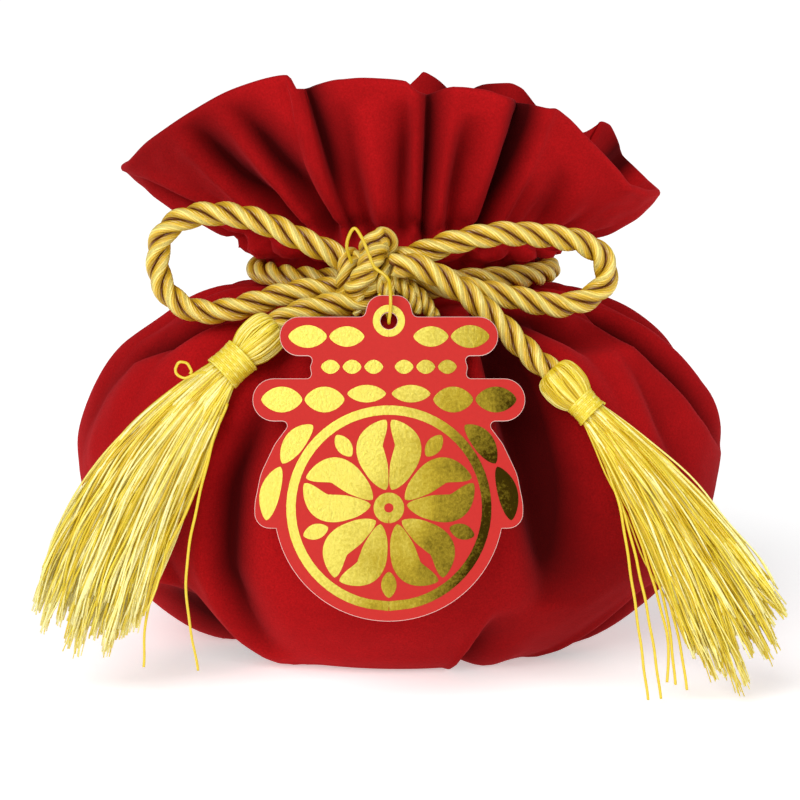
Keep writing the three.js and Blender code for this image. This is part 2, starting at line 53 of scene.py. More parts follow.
# Cloth wall, one row for each ring from the base to the rim, in millimetres: height, share of the rim's drop,
# half width, half depth, height of the gathers, and share of the ruffle.
SECTIONS = np.array([
    (0.0, 0.00, 16.0, 14.0, 0.0, 0.00),
    (0.0, 0.00, 30.5, 27.5, 0.0, 0.00),
    (2.0, 0.00, 37.5, 33.0, 0.0, 0.00),
    (6.5, 0.00, 45.2, 37.4, 0.0, 0.00),
    (13.5, 0.00, 52.8, 41.8, 0.0, 0.00),
    (23.0, 0.00, 59.2, 44.6, 0.0, 0.00),
    (36.0, 0.00, 60.9, 45.5, 0.0, 0.00),
    (46.0, 0.00, 58.1, 43.8, 0.2, 0.00),
    (54.0, 0.00, 53.0, 39.8, 0.5, 0.00),
    (60.0, 0.00, 45.4, 34.2, 0.9, 0.00),
    (64.2, 0.00, 38.2, 27.8, 1.2, 0.00),
    (65.8, 0.00, 32.6, 23.0, 0.9, 0.00),
    (67.2, 0.00, 25.0, 17.2, 0.6, 0.00),
    (72.2, 0.00, 25.0, 17.2, 0.6, 0.00),
    (74.2, 0.05, 28.8, 20.6, 1.1, 0.05),
    (77.5, 0.14, 29.0, 20.6, 1.6, 0.15),
    (84.5, 0.37, 34.0, 22.4, 1.0, 0.45),
    (92.0, 0.60, 39.6, 25.0, 0.35, 0.75),
    (99.8, 0.83, 44.8, 27.8, 0.1, 0.92),
    (105.4, 1.00, 48.2, 30.0, 0.0, 1.00),
])
# The mouth leans to the left, and its ruffle bulges.
RIM_SHIFT = -1.6
RUFFLE_BULGE = 1.6
# The neck sits a little to the right: shift, row and spread.
NECK_SHIFT = 0.8
NECK_ROW = 14.0
NECK_SPREAD = 1.7
# The right shoulder falls away more than the left one: depth, row and spread of that hollow.
HOLLOW_DEPTH = 4.4
HOLLOW_ROW = 10.0
HOLLOW_SPREAD = 0.9
# Gathers around the neck: their number, how sharp the valleys are, and the uneven spacing as size, waves
# and phase.
GATHER_COUNT = 21
GATHER_SHARPNESS = 0.004
GATHER_DRIFTS = ((0.03, 3, 1), (0.02, 5, 2))
# Line above the cord where the cloth is pinched in: row, depth, spread, and how far fine creases move it.
PINCH_ROW = 15.35
PINCH_DEPTH = 1.1
PINCH_SPREAD = 0.17
PINCH_WAVER = 0.12
# Casing that swells under that line: rows below it, height, spread, and how much fine creases change
# the height.
CASING_BELOW = 0.75
CASING_HEIGHT = 0.5
CASING_SPREAD = 0.5
CASING_WAVER = 0.22
# Painted shade is lighter in the folds above the pinch: rows above it, and share of the painted shade that is
# taken away.
PINCH_LIGHT_ABOVE = 0.4
PINCH_LIGHT = 0.45
# Cloth swells beside a fold and drops with it at the rim, as shares of the fold's depth.
FOLD_SWELL = 0.22
FOLD_DROP = 0.45
# Where the swell and the tuck are, as shares of the fold's half width, then how full the fold stays towards
# its ends, and how pointed its section is.
FOLD_SWELL_AT = 2.1
FOLD_TUCK_AT = 1.3
FOLD_FADE = 0.75
FOLD_POINT = 1.5
# Slow puffs and fine creases all over: height, then number of waves, most radians per row and most waves
# around.
PUFF_HEIGHT = 0.32
PUFF_WAVES = (14, 2.2, 9)
CREASE_HEIGHT = 0.07
CREASE_WAVES = (18, 7.0, 46)
CLOTH_SEED = 5
# Depth of a fold in millimetres that is painted in as full shade.
FULL_SHADE_DEPTH = 6

# Drop of the rim below its highest level: angle from the front in degrees, and drop in millimetres.
RIM_DROPS = np.array([
    (-90, 15.6), (-79, 15.2), (-63, 11.2), (-46, 5.6), (-35, 1.9), (-26, -0.2), (-21, -0.8), (-18.5, 1.4),
    (-15, 0.6), (-10, -0.6), (-3, -0.5), (3.5, -0.0), (8, 2.2), (13, 0.5), (18, 1.2), (24.5, 1.9), (29, 3.6),
    (35, 4.1), (40, 6.5), (46, 10.3), (57, 16.2), (64, 19.4), (76, 20.2), (92, 20.0), (104, 18.2),
    (113, 14.4), (121, 9.4), (126, 8.4), (131, 11.6), (138, 11.0), (144, 6.6), (148, 2.9), (152, 1.8),
    (157, 2.2), (163, 5.0), (166, 4.6), (170, 1.3), (172.5, 0.2), (175, 1.6), (180, 5.0), (200, 7.0),
    (215, 8.5), (232, 11.5), (252, 15.5),
])

# Folds that run up the cloth: first and last row of the sections, angle at the first, middle and last row,
# half width in degrees, depth in millimetres, skew of the steeper side, and tuck of the left edge in degrees.
FOLD_LINES = np.array([
    # ruffle, front
    (14.6, 19.0, -35.0, -43.5, -47.0, 3.8, 4.8, 0.3, 0.0),
    (14.6, 18.9, -23.0, -29.0, -36.0, 3.4, 4.6, 0.3, 0.0),
    (14.0, 21.5, -18.0, -17.0, -19.5, 2.2, 4.4, 0.5, 1.2),
    (14.8, 18.6, -10.0, -10.0, -10.0, 3.0, 1.9, -0.3, 0.0),
    (14.2, 18.6, -1.0, 1.8, 3.5, 2.6, 3.2, -0.2, 0.0),
    (14.2, 21.0, 9.0, 8.2, 8.0, 1.9, 5.0, 0.3, 0.4),
    (14.2, 18.4, 18.5, 16.4, 17.5, 2.6, 3.4, 0.2, 0.0),
    (14.0, 22.0, 31.0, 28.5, 28.5, 2.5, 8.4, 0.1, 1.0),
    (14.2, 17.2, 39.0, 37.0, 37.0, 2.4, 1.6, 0.0, 0.0),
    (14.2, 17.8, 57.0, 49.5, 45.0, 3.4, 2.2, 0.0, 0.0),
    (15.0, 18.9, -58.0, -71.0, -86.0, 4.0, 2.8, -0.3, 0.0),
    # ruffle, sides and back
    (15.6, 19.6, 82.0, 84.0, 87.0, 9.0, -3.0, 0.0, 0.0),
    (14.0, 22.0, 108.0, 110.0, 112.0, 5.5, 6.0, 0.2, 0.0),
    (14.0, 22.0, 136.0, 137.0, 138.0, 6.5, 6.4, 0.2, 0.0),
    (14.0, 22.0, 163.0, 164.0, 165.0, 6.0, 6.4, -0.2, 0.0),
    (14.0, 22.0, 190.0, 191.0, 192.0, 6.5, 6.0, 0.2, 0.0),
    (14.0, 22.0, 215.0, 216.0, 217.0, 6.0, 6.4, -0.2, 0.0),
    (14.0, 22.0, 242.0, 243.0, 244.0, 6.5, 6.0, 0.2, 0.0),
    (14.4, 24.0, 277.0, 277.0, 277.0, 8.0, -1.0, 0.0, 0.0),
    # belly, front
    (4.0, 11.6, 31.0, 20.5, 31.0, 5.2, 8.0, 0.45, 0.0),
    (8.5, 11.1, 52.0, 39.0, 27.0, 11.0, 3.2, 0.0, 0.0),
    (5.6, 8.6, 58.0, 54.0, 54.0, 3.4, 1.6, 0.3, 0.0),
    (6.0, 10.9, 83.0, 66.5, 81.0, 3.6, 6.8, -0.1, 0.0),
    (2.6, 7.0, -50.0, -46.0, -42.0, 4.0, 1.6, 0.3, 0.0),
    (2.4, 8.4, -33.0, -30.5, -22.0, 3.4, 4.0, 0.3, 0.0),
    (8.1, 10.9, -72.0, -54.0, -34.0, 5.4, 3.8, 0.2, 0.0),
    (5.6, 10.6, -80.0, -72.0, -62.0, 6.0, 1.8, 0.0, 0.0),
    (6.0, 11.2, -9.0, -7.0, -5.0, 4.0, 1.8, 0.0, 0.0),
    (6.0, 11.2, 6.0, 7.0, 9.0, 4.0, 1.6, 0.0, 0.0),
    # belly, sides and back
    (3.6, 11.2, 118.0, 114.0, 112.0, 8.0, 3.0, 0.2, 0.0),
    (3.6, 11.2, 150.0, 148.0, 146.0, 7.0, 2.8, -0.2, 0.0),
    (3.6, 11.2, 174.0, 177.0, 178.0, 7.0, 2.4, 0.2, 0.0),
    (3.6, 11.2, 207.0, 210.0, 212.0, 7.0, 2.8, -0.2, 0.0),
    (3.6, 11.2, 240.0, 244.0, 246.0, 8.0, 3.0, 0.2, 0.0),
    (5.6, 10.8, 96.0, 93.0, 92.0, 6.0, 2.2, 0.0, 0.0),
    (5.6, 10.8, 264.0, 267.0, 268.0, 6.0, 2.2, 0.0, 0.0),
    # base pleats
    (0.4, 4.0, 18.5, 18.0, 20.0, 3.0, 2.9, 0.65, 0.0),
    (0.8, 4.0, 51.0, 55.0, 62.0, 4.0, 5.0, 0.4, 0.0),
    (0.6, 4.4, 105.0, 104.0, 102.0, 6.0, 2.6, 0.2, 0.0),
    (0.6, 4.4, 148.0, 149.0, 150.0, 6.0, 2.8, -0.2, 0.0),
    (0.6, 4.4, 192.0, 192.0, 193.0, 6.0, 2.6, 0.2, 0.0),
    (0.6, 4.4, 238.0, 237.0, 236.0, 6.0, 2.8, -0.2, 0.0),
    (0.3, 4.2, -58.0, -55.0, -54.0, 9.0, 7.0, -0.1, 0.0),
])

# Cord routes in metres, from the knot outwards.
LOOP_LEFT_ROUTE = MM * np.array([
    (-8.8, -27.8, 74.2), (-13.0, -28.4, 76.3), (-18.0, -28.6, 78.6), (-23.0, -28.0, 80.8),
    (-28.2, -27.0, 82.2), (-33.2, -26.0, 82.5), (-37.8, -25.2, 81.6), (-41.0, -24.6, 79.6),
    (-42.6, -24.2, 76.6), (-42.8, -24.2, 73.2), (-42.2, -24.4, 70.0), (-40.2, -24.8, 67.2),
    (-37.0, -25.4, 65.4), (-33.4, -26.0, 65.0), (-29.4, -26.8, 65.6), (-24.8, -27.4, 67.0),
    (-20.0, -27.8, 68.4), (-15.4, -27.8, 69.2), (-9.5, -27.6, 69.3),
])
LOOP_RIGHT_ROUTE = MM * np.array([
    (0.0, -28.0, 74.6), (4.2, -28.6, 75.9), (8.2, -29.4, 77.4), (13.0, -29.6, 78.6),
    (17.8, -29.0, 79.2), (22.6, -27.8, 79.0), (27.4, -26.4, 78.4), (32.0, -25.2, 77.4),
    (35.4, -24.4, 75.4), (36.9, -24.0, 72.6), (36.6, -24.2, 69.8), (34.2, -25.0, 67.6),
    (30.6, -26.2, 66.4), (26.6, -27.2, 66.4), (22.2, -27.8, 67.4), (17.8, -28.2, 68.4),
    (13.4, -28.2, 69.2), (9.0, -28.0, 69.7), (5.0, -27.8, 69.7), (0.9, -27.8, 69.5),
])
TAIL_LEFT_ROUTE = MM * np.array([
    (-7.7, -32.6, 67.5), (-11.4, -32.9, 67.2), (-15.0, -33.0, 66.6), (-18.2, -33.8, 65.6),
    (-20.6, -34.5, 64.5), (-22.4, -35.3, 63.1),
])
TAIL_RIGHT_ROUTE = MM * np.array([
    (-1.1, -33.8, 74.1), (2.2, -34.1, 74.3), (5.8, -34.2, 73.0), (9.2, -34.4, 71.0),
    (12.6, -34.6, 68.6), (15.8, -35.0, 65.8), (18.8, -35.6, 63.0), (21.4, -36.4, 60.4),
    (23.8, -37.4, 58.2), (25.6, -38.2, 56.9), (27.2, -38.8, 55.6),
])
# Way of the left cord through the knot, from its loop to its tail.
KNOT_PASSAGE = MM * np.array([(-5.2, -29.0, 74.0), (-4.0, -31.2, 71.8), (-5.0, -32.2, 69.2)])
# Free cords of the bow: the nodes that each one stands for, and the side of the tassel on it.
BOW_CORDS = {
    "bow_cord_left": (("loop_left", "tail_left"), "left"),
    "bow_loop_right": (("loop_right",), None),
    "bow_tail_right": (("tail_right",), "right"),
}
BOW_REFERENCE = (0.05, 1, 0.02)
# Strands of the twisted cord as shares of its diameter: distance from the middle, half height and half width.
STRAND_COUNT = 3
STRAND_OUT = 0.266
STRAND_HALF_HEIGHT = 0.234
STRAND_HALF_WIDTH = 0.243
# Thread of the card, from the knot through the hole and back up behind the card.
THREAD_ROUTE = MM * np.array([
    (-8.2, -33.4, 74.6), (-9.0, -35.0, 77.4), (-8.6, -35.8, 79.6), (-7.6, -36.0, 80.9), (-6.3, -36.6, 79.2),
    (-5.2, -37.2, 76.6), (-4.2, -37.6, 74.4), (-2.6, -38.2, 73.2), (-1.7, -39.2, 72.2), (-1.5, -41.0, 71.0),
    (-1.4, -42.3, 69.2), (-1.5, -42.4, 67.2), (-1.7, -41.5, 65.6), (-1.7, -39.9, 65.0), (-1.8, -38.3, 65.7),
    (-2.6, -36.6, 67.4), (-3.4, -35.4, 69.4),
])
CARD_THREAD_RADIUS = 0.3 * MM
# Turns of the knot: middle, axis, half depth and half height, and cord width as a share of the drawcord.
KNOT_TURNS = (
    ((-5.9, -29.6, 72.9), (0.88, 0.0, -0.47), 4.4, 4.9, 0.95),
    ((-2.6, -28.6, 71.4), (0.95, 0.0, 0.2), 3.4, 3.6, 0.9),
    ((-9.0, -27.6, 71.6), (0.95, 0.0, -0.1), 2.6, 3.2, 0.9),
)
KNOT_PHASE = 0.7
# Curled end of the knot, and the strands that hang from it in millimetres.
CURL_ROUTE = MM * np.array([
    (-5.6, -32.0, 75.6), (-5.0, -32.4, 77.8), (-3.4, -31.8, 79.0), (-1.9, -30.2, 78.2), (-1.8, -28.6, 76.0),
])
KNOT_STRANDS = (
    ((-6.2, -32.2, 71.4), (-6.9, -33.2, 68.8), (-7.2, -33.0, 65.6)),
    ((-3.8, -32.6, 71.8), (-2.2, -33.8, 69.2), (-1.0, -33.4, 66.0)),
    ((-1.2, -31.6, 71.8), (1.6, -33.0, 69.4), (3.6, -33.0, 66.0)),
    ((0.6, -31.0, 70.8), (3.8, -32.2, 68.6), (6.2, -32.2, 64.8)),
)
# Pitch of the knot's cords as a share of the drawcord's, a further share for the strands, and the widths
# of the curled end and the strands.
KNOT_PITCH = 0.6
KNOT_STRAND_PITCH = 0.7
CURL_WIDTH = 0.8
KNOT_STRAND_WIDTH = 0.58
# Ring of cord around the neck: half width and half depth, height, and first and last angle in degrees.
NECK_CORD_HALF = MM * np.array((27.4, 20.4))
NECK_CORD_HEIGHT = 69.7 * MM
NECK_CORD_SPAN = (-6, 346)

# Tassels: top of the head, aim of the head, and the outer and inner edge of the fringe
# halfway down and at the ragged end.
TASSELS = {
    "left": MM * np.array([
        (-21.4, -35.0, 64.0), (-32.0, -38.4, 54.6), (-52.0, -41.5, 39.4), (-38.6, -43.8, 32.0),
        (-64.6, -43.0, 14.8), (-46.0, -45.0, 8.4),
    ]),
    "right": MM * np.array([
        (26.4, -38.5, 56.4), (34.6, -41.2, 48.1), (53.4, -45.0, 32.8), (41.0, -47.2, 31.6),
        (70.0, -48.0, 13.4), (51.6, -49.6, 4.4),
    ]),
}
# Long stray threads of each tassel in millimetres. The left one also has a thread curled beside its band.
STRAYS = {
    "left": (
        (
            (-29.6, -40.6, 51.0), (-32.1, -44.0, 44.4), (-36.0, -45.6, 27.7), (-36.7, -45.6, 17.4),
            (-35.0, -45.0, 4.6),
        ),
        (
            (-30.6, -40.8, 49.0), (-35.2, -44.2, 36.0), (-40.4, -45.4, 25.0), (-43.6, -45.8, 15.0),
            (-44.4, -45.6, 5.4),
        ),
        (
            (-33.2, -41.0, 56.6), (-35.2, -41.6, 56.3), (-36.6, -41.8, 55.7), (-37.9, -41.6, 56.1),
            (-38.4, -41.4, 57.3), (-37.6, -41.4, 58.4), (-36.3, -41.4, 58.1), (-35.7, -41.5, 57.0),
            (-35.9, -41.7, 56.4),
        ),
    ),
    "right": (
        (
            (34.6, -43.0, 43.0), (37.6, -47.0, 35.0), (39.5, -49.2, 24.0), (41.4, -50.2, 11.5),
            (42.9, -50.6, 1.0),
        ),
        (
            (35.0, -43.0, 42.6), (38.6, -47.2, 33.0), (41.4, -49.4, 22.0), (43.6, -50.2, 11.0),
            (45.1, -50.6, 1.2),
        ),
        (
            (35.4, -43.0, 42.4), (40.4, -47.4, 31.0), (44.0, -49.4, 20.0), (46.2, -50.2, 11.0),
            (46.1, -50.4, 4.1),
        ),
        (
            (35.6, -43.0, 42.4), (41.2, -47.6, 30.0), (45.2, -49.4, 19.0), (46.6, -50.0, 12.0),
            (47.6, -50.2, 3.6),
        ),
        (
            (36.0, -43.0, 42.4), (42.4, -47.6, 29.0), (46.4, -49.2, 18.0), (48.6, -49.8, 9.0),
            (49.6, -50.0, 2.6),
        ),
    ),
}
STRAY_RADIUS = 0.26 * MM
STRAY_STATIONS = 90
STRAY_WAVER = 0.05 * MM * np.array((1.0, 0.6, 0.0))
STRAY_WAVER_TURN = 34
HEAD_LENGTHS = {"left": 8.0 * MM, "right": 7.2 * MM}
BAND_RADII = {"left": 3.1 * MM, "right": 2.5 * MM}
BAND_SPANS = {"left": 5.0 * MM, "right": 3.4 * MM}
BAND_PITCH = 0.34 * MM
BAND_STATIONS = 640
BAND_OVERLAP = 0.2 * MM
BAND_FLARE = 0.22 * MM
BAND_WAVER = 0.04 * MM
BAND_THREAD_RADIUS = 0.22 * MM
# Profile of a head of the given length and of its neck: radius and distance from the top.
HEAD_PROFILE_LENGTH = 8.0 * MM
HEAD_PROFILE = MM * np.array([
    (0.4, 0.6), (1.6, 0.0), (2.8, 0.4), (3.5, 1.7), (3.65, 3.4), (3.5, 5.2), (2.9, 7.0), (2.3, 8.2),
    (2.1, 9.4), (2.0, 10.8),
])
HEAD_INSET = 0.15 * MM
HEAD_RINGS = 48
HEAD_SIDES = 64
# Threads over a head: number, radius and stations, uneven spacing as a share, twist and sway in radians,
# lift in millimetres, and tint.
HEAD_THREADS = 120
HEAD_THREAD_RADIUS = 0.2 * MM
HEAD_STATIONS = 30
HEAD_JITTER = 0.7
HEAD_TWIST = 0.25
HEAD_SWAY = 0.12
HEAD_LIFT = (-0.1, 0.22)
HEAD_TINT = (0.0, 0.75)
# Fringe: where it starts above the band's end and how wide as a share of the band, then its locks: their
# number, how unevenly they are split, and how much they spread and taper at the tips.
FRINGE_SEED = 11
FRINGE_OVERLAP = 1.2 * MM
FRINGE_ROOT = 0.8
LOCK_COUNT = 10
LOCK_JITTER = 0.6
LOCK_SPREAD = 0.18
LOCK_TAPER = 0.42
# Depth of the fringe halfway down and at the tips, scatter halfway down, bow of the tips, and least height.
MIDDLE_DEPTH = 3.6 * MM
MIDDLE_SCATTER = 0.55 * MM
TIP_DEPTH = 2.6 * MM
TIP_BOW = 3.4 * MM
FRINGE_FLOOR = 0.8 * MM
# Sway of the threads halfway down: share of the fringe's width, and radians across it and through its depth.
FRINGE_SWAY = 0.04
FRINGE_SWAY_TURNS = (26, 3)
# Reach of the longest lock, and how much shorter other locks and single threads are.
LOCK_REACH = 1.05
LOCK_SHORTER = 0.12
THREAD_SHORTER = 0.08
# Threads: stations, waver in millimetres at the root and added at the tip, and thinning at the tip.
THREAD_STATIONS = 22
ROOT_WAVER = 0.15
TIP_WAVER = 0.32
TIP_THINNING = 0.45
# Tint of each fringe from 0, deep, to 1, pale, the painted light that makes its tips paler, the number
# and strength of its stripes, and the scatter from thread to thread.
FRINGE_TONES = {"left": 0.54, "right": 0.30}
TIP_PAINTED_LIGHT = 0.3
STRIPE_COUNT = 9
STRIPE_TINT = 0.2
TINT_SCATTER = 0.32

# Card: place of its top edge, lean, thickness and hole.
CARD_TOP = MM * np.array((-1.7, -39.3, 69.6))
CARD_TILT = np.radians(13.0)
CARD_DOWN = np.array((0.0, -np.sin(CARD_TILT), -np.cos(CARD_TILT)))
CARD_FACING = np.array((0.0, -np.cos(CARD_TILT), np.sin(CARD_TILT)))
CARD_THICKNESS = 1.2 * MM
CARD_BEVEL = 0.14
CARD_HOLE_RADIUS = 1.45
CARD_HOLE_DROP = 4.4
# Right half of its outline in millimetres from the tab down: across, drop from the top, radius of the corner.
# A disc closes it at the bottom.
CARD_OUTLINE = np.array([
    (0.0, 0.0, 0.0), (3.3, 0.0, 2.6), (4.2, 3.7, 1.0), (18.7, 3.7, 3.3), (18.7, 10.4, 3.3), (12.8, 10.4, 0.8),
    (13.5, 12.3, 1.5), (13.1, 14.3, 0.8), (23.3, 14.3, 3.6), (23.3, 21.6, 3.6), (16.6, 21.6, 0.8),
    (19.5, 25.5, 6.0), (21.9, 30.6, 9.0), (22.9, 35.7, 9.0), (22.9, 39.9, 2.6), (19.2, 39.9, 0.0),
])
CARD_DISC_RADIUS = 19.6
CARD_DISC_DROP = 36.1

# Foil strokes on the right half of the card, mirrored to the left: path across and down in millimetres,
# and half width. The blossom's petals have two halves, given along and beside their axis.
BLOSSOM_MIDDLE = np.array((0.0, 36.4))
PETAL = np.array([(3.1, 0.5), (6.6, 2.1), (10.8, 3.2), (15.0, 0.5)])
PETAL_HALF_WIDTH = 2.35
FOIL_STROKES = (
    (((4.2, 7.1), (7.0, 7.1), (10.2, 7.1)), 1.75),
    (((10.6, 7.1), (13.8, 7.1), (17.2, 7.1)), 1.95),
    (((1.0, 12.3), (2.6, 12.3), (4.2, 12.3)), 1.2),
    (((4.7, 12.3), (6.3, 12.3), (7.9, 12.3)), 1.2),
    (((8.4, 12.3), (10.0, 12.3), (11.6, 12.3)), 1.2),
    (((0.5, 16.9), (3.8, 16.9), (7.1, 16.9)), 1.5),
    (((7.6, 17.9), (11.0, 17.9), (14.4, 17.9)), 2.2),
    (((14.8, 17.9), (18.2, 17.9), (21.8, 17.9)), 2.2),
    (((13.0, 22.3), (15.8, 24.8), (18.2, 28.8)), 1.8),
    (((18.5, 29.4), (20.2, 33.5), (20.9, 38.5)), 1.7),
)
# Rings of foil: middle, radius and half width. Then the petals, and the small leaves between them, each drawn
# through these distances from the blossom's middle.
FOIL_RINGS = (
    ((0.0, CARD_HOLE_DROP), 2.15, 0.6),
    (BLOSSOM_MIDDLE, 16.7, 0.8),
    (BLOSSOM_MIDDLE, 1.7, 0.9),
)
PETAL_COUNT = 5
LEAF_RADII = (10.9, 13.1, 15.3)
LEAF_HALF_WIDTH = 1.3
# Bottom and top of the foil, measured from the card's face.
FOIL_BOTTOM = -0.02 * MM
FOIL_TOP = 0.05 * MM

# Noise in the finishes: scale per metre, detail and roughness.
NOISES = {
    "velvet_drift": (45.0, 3.0, 0.55),
    "velvet_pile": (2600.0, 2.0, 0.6),
    "velvet_smudge": (240.0, 3.0, 0.5),
    "cord_drift": (420.0, 2.0, 0.5),
    "fringe_flecks": (1500.0, 2.0, 0.5),
    "card_mottle": (1800.0, 3.0, 0.5),
    "foil_grain": (1900.0, 3.0, 0.65),
    "foil_wash": (160.0, 3.0, 0.5),
    "floor_drift": (3.0, 2.0, 0.5),
}
# Velvet tones as shares of its colour: drifts, pile, and the painted shade of the folds and of patches.
VELVET_TONES = {"dark": 0.66, "light": 1.3, "pile": 0.62, "fold": 0.12, "patch_shade": 0.1}
# Painted shade at the lower right of the belly and the upper left of the ruffle: height where that
# begins in metres and how fast it comes in, the same across, and its strength.
SHADE_PATCHES = (
    (0.044, -42.0, -0.02, 20.0, 0.46),
    (0.078, 70.0, -0.024, -80.0, 0.36),
)
VELVET_SHEEN = (1.0, 0.07, 0.09)
# Cord: threads across a strand and their slant, its painted crest highlight, thread gaps and painted groove
# shade.
CORD_THREADS = 11.0
CORD_SLANT = 1.7
CORD_HIGHLIGHT = (1.0, 0.86, 0.24)
CORD_GAP = (0.44, 0.21, 0.008)
CORD_GROOVE_SHADE = (0.20, 0.06, 0.004)
# Fringe: deepest and palest thread, darker flecks, and a painted glow in the threads' own colour that lifts
# their shade.
FRINGE_DEEP = (0.60, 0.39, 0.004)
FRINGE_PALE = (0.97, 0.91, 0.42)
FRINGE_FLECK = (0.64, 0.42, 0.004)
FRINGE_GLOW = 0.06
# Cut edge of the card, depth of its face in metres, foil grain, and the middle and dark painted reflection.
CARD_EDGE = (0.86, 0.55, 0.5)
CARD_FACE_DEPTH = 0.00006
FOIL_GRAIN = (0.72, 0.58, 0.05)
FOIL_REFLECTION_MID = (0.50, 0.36, 0.03)
FOIL_REFLECTION_DARK = (0.045, 0.027, 0.002)
# Painted reflection on the foil as a tone from 0, light, to 1, dark: at the origin, more per metre to the
# right, less per metre up, and how much the wash and the grain change it.
FOIL_REFLECTION = 0.84
FOIL_REFLECTION_RIGHT = 40.0
FOIL_REFLECTION_UP = 14.0
FOIL_REFLECTION_WASH = 0.7
FOIL_REFLECTION_GRAIN = 0.6

# Camera: where it looks, its distance and height, and the width of the view at that distance.
CAMERA_AIM = MM * np.array((0.2, 0.0, 44.5))
CAMERA_DISTANCE = 450.0 * MM
CAMERA_ELEVATION = np.radians(10.0)
VIEW_WIDTH = 152.0 * MM
SENSOR_WIDTH = 36.0
FLOOR_REACH = 60.0
FLOOR_DROP = 0.2 * MM
FLOOR_GLOW = 0.44
# Lights: direction, strength and spread of the sun, then place, size and power of the soft lights.
SUN_DIRECTION = (0.60, 0.85, -0.86)
SUN_STRENGTH = 2.2
SUN_SPREAD = np.radians(50)
SOFT_LIGHTS = (
    ("fill", (0.95, -0.9, 0.62), 0.45, 5.0),
    ("front", (-0.25, -1.25, 0.42), 0.5, 1.1),
)
WORLD_STRENGTH = 0.22


# Numbers and shapes

def calm_slopes(rise):
    """Slope at each joint of a line that never overshoots: the harmonic mean of its two sides, or level."""
    before, after = rise[:-1], rise[1:]
    total = np.where(np.abs(before + after) < 1e-12, 1.0, before + after)
    return np.where(before * after > 0, 2 * before * after / total, 0.0)


def eased_rows(table, at):
    """Every column of a table at fractional row numbers, by a monotone cubic through the rows."""
    step = np.diff(table, axis=0)
    slope = np.vstack([step[:1], calm_slopes(step), step[-1:]])
    low = np.clip(np.floor(at).astype(int), 0, len(table) - 2)
    t = (at - low)[..., None]
    start, end = table[low], table[low + 1]
    return (
        start * (1 + 2 * t) * (1 - t) ** 2
        + slope[low] * t * (1 - t) ** 2
        + end * t ** 2 * (3 - 2 * t)
        + slope[low + 1] * t ** 2 * (t - 1)
    )


def smooth_line(points, count):
    """A Catmull-Rom curve through the points, resampled to evenly spaced stations."""
    padded = np.vstack([2 * points[0] - points[1], points, 2 * points[-1] - points[-2]])
    fine = np.linspace(0, len(points) - 1, 40 * len(points))
    low = np.minimum(fine.astype(int), len(points) - 2)
    t = (fine - low)[:, None]
    a, b, c, d = (padded[low + k] for k in range(4))
    curve = 0.5 * (
        2 * b + (c - a) * t + (2 * a - 5 * b + 4 * c - d) * t ** 2 + (3 * b - a - 3 * c + d) * t ** 3
    )
    return even_line(curve, count)


def even_line(curve, count):
    """A polyline resampled to evenly spaced stations."""
    along = np.concatenate([[0], np.cumsum(np.linalg.norm(np.diff(curve, axis=0), axis=1))])
    stations = np.linspace(0, along[-1], count)
    return np.stack([np.interp(stations, along, curve[:, axis]) for axis in range(3)], 1)


def line_length(points):
    return float(np.linalg.norm(np.diff(points, axis=0), axis=1).sum())


def unit(vectors):
    return vectors / np.maximum(np.linalg.norm(vectors, axis=-1, keepdims=True), 1e-12)


def grid_faces(rows, columns, wrap):
    """Quads of a rows by columns grid, closed around the columns where wrap is set."""
    across = columns if wrap else columns - 1
    row, column = np.meshgrid(np.arange(rows - 1), np.arange(across), indexing="ij")
    after = (column + 1) % columns
    low, high = row * columns, (row + 1) * columns
    return np.stack([low + column, low + after, high + after, high + column], -1).reshape(-1, 4)


class Shape:
    """Collects grids of points into one mesh, with a UV and a tint for every point, which also carries
    painted shading.
    """

    def __init__(self):
        self.points, self.faces, self.uvs, self.tints, self.count = [], [], [], [], 0

    def add_grid(self, points, wrap=False, uv=None, tint=0.5, caps=False, flip=False):
        """Adds a grid of points, or a stack of grids with the same size."""
        grids = points.reshape((-1,) + points.shape[-3:])
        copies, rows, columns = grids.shape[:3]
        faces = grid_faces(rows, columns, wrap)
        faces = faces[:, ::-1] if flip else faces
        starts = self.count + np.arange(copies)[:, None, None] * rows * columns
        self.faces.extend((faces[None] + starts).reshape(-1, 4).tolist())
        if caps:
            first = np.arange(columns)[::-1]
            last = (rows - 1) * columns + np.arange(columns)
            ends = np.stack([first, last])
            ends = ends[:, ::-1] if flip else ends
            self.faces.extend((ends[None] + starts).reshape(-1, columns).tolist())
        self.points.append(grids.reshape(-1, 3))
        if uv is None:
            u, v = np.meshgrid(np.linspace(0, 1, rows), np.linspace(0, 1, columns), indexing="ij")
            uv = np.stack([u, v], -1)
        self.uvs.append(np.broadcast_to(uv, grids.shape[:3] + (2,)).reshape(-1, 2))
        tint = np.asarray(tint, float)
        tint = tint if tint.ndim > 1 else tint.reshape(-1, 1, 1)
        self.tints.append(np.broadcast_to(tint, grids.shape[:3]).reshape(-1))
        self.count += copies * rows * columns

    def build(self, name, finish, smooth=True):
        mesh = bpy.data.meshes.new(name)
        mesh.from_pydata(np.vstack(self.points), [], self.faces)
        corners = np.empty(len(mesh.loops), dtype=np.int32)
        mesh.loops.foreach_get("vertex_index", corners)
        layer = mesh.uv_layers.new(name="UVMap")
        layer.data.foreach_set("uv", np.vstack(self.uvs)[corners].astype(np.float32).ravel())
        tint = mesh.attributes.new("tint", "FLOAT", "POINT")
        tint.data.foreach_set("value", np.concatenate(self.tints).astype(np.float32))
        mesh.polygons.foreach_set("use_smooth", np.full(len(mesh.polygons), smooth))
        mesh.materials.append(finish)
        mesh.update()
        piece = bpy.data.objects.new(name, mesh)
        bpy.context.scene.collection.objects.link(piece)
        return piece


def settle(piece, slot, *nodes):
    """The piece rides on the bag and stands for its nodes, which are hidden; the slot is not used."""
    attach(piece, BODY)
    if nodes:
        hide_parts(*nodes)


# Cloth

def wrapped(angle):
    return (angle + 180) % 360 - 180


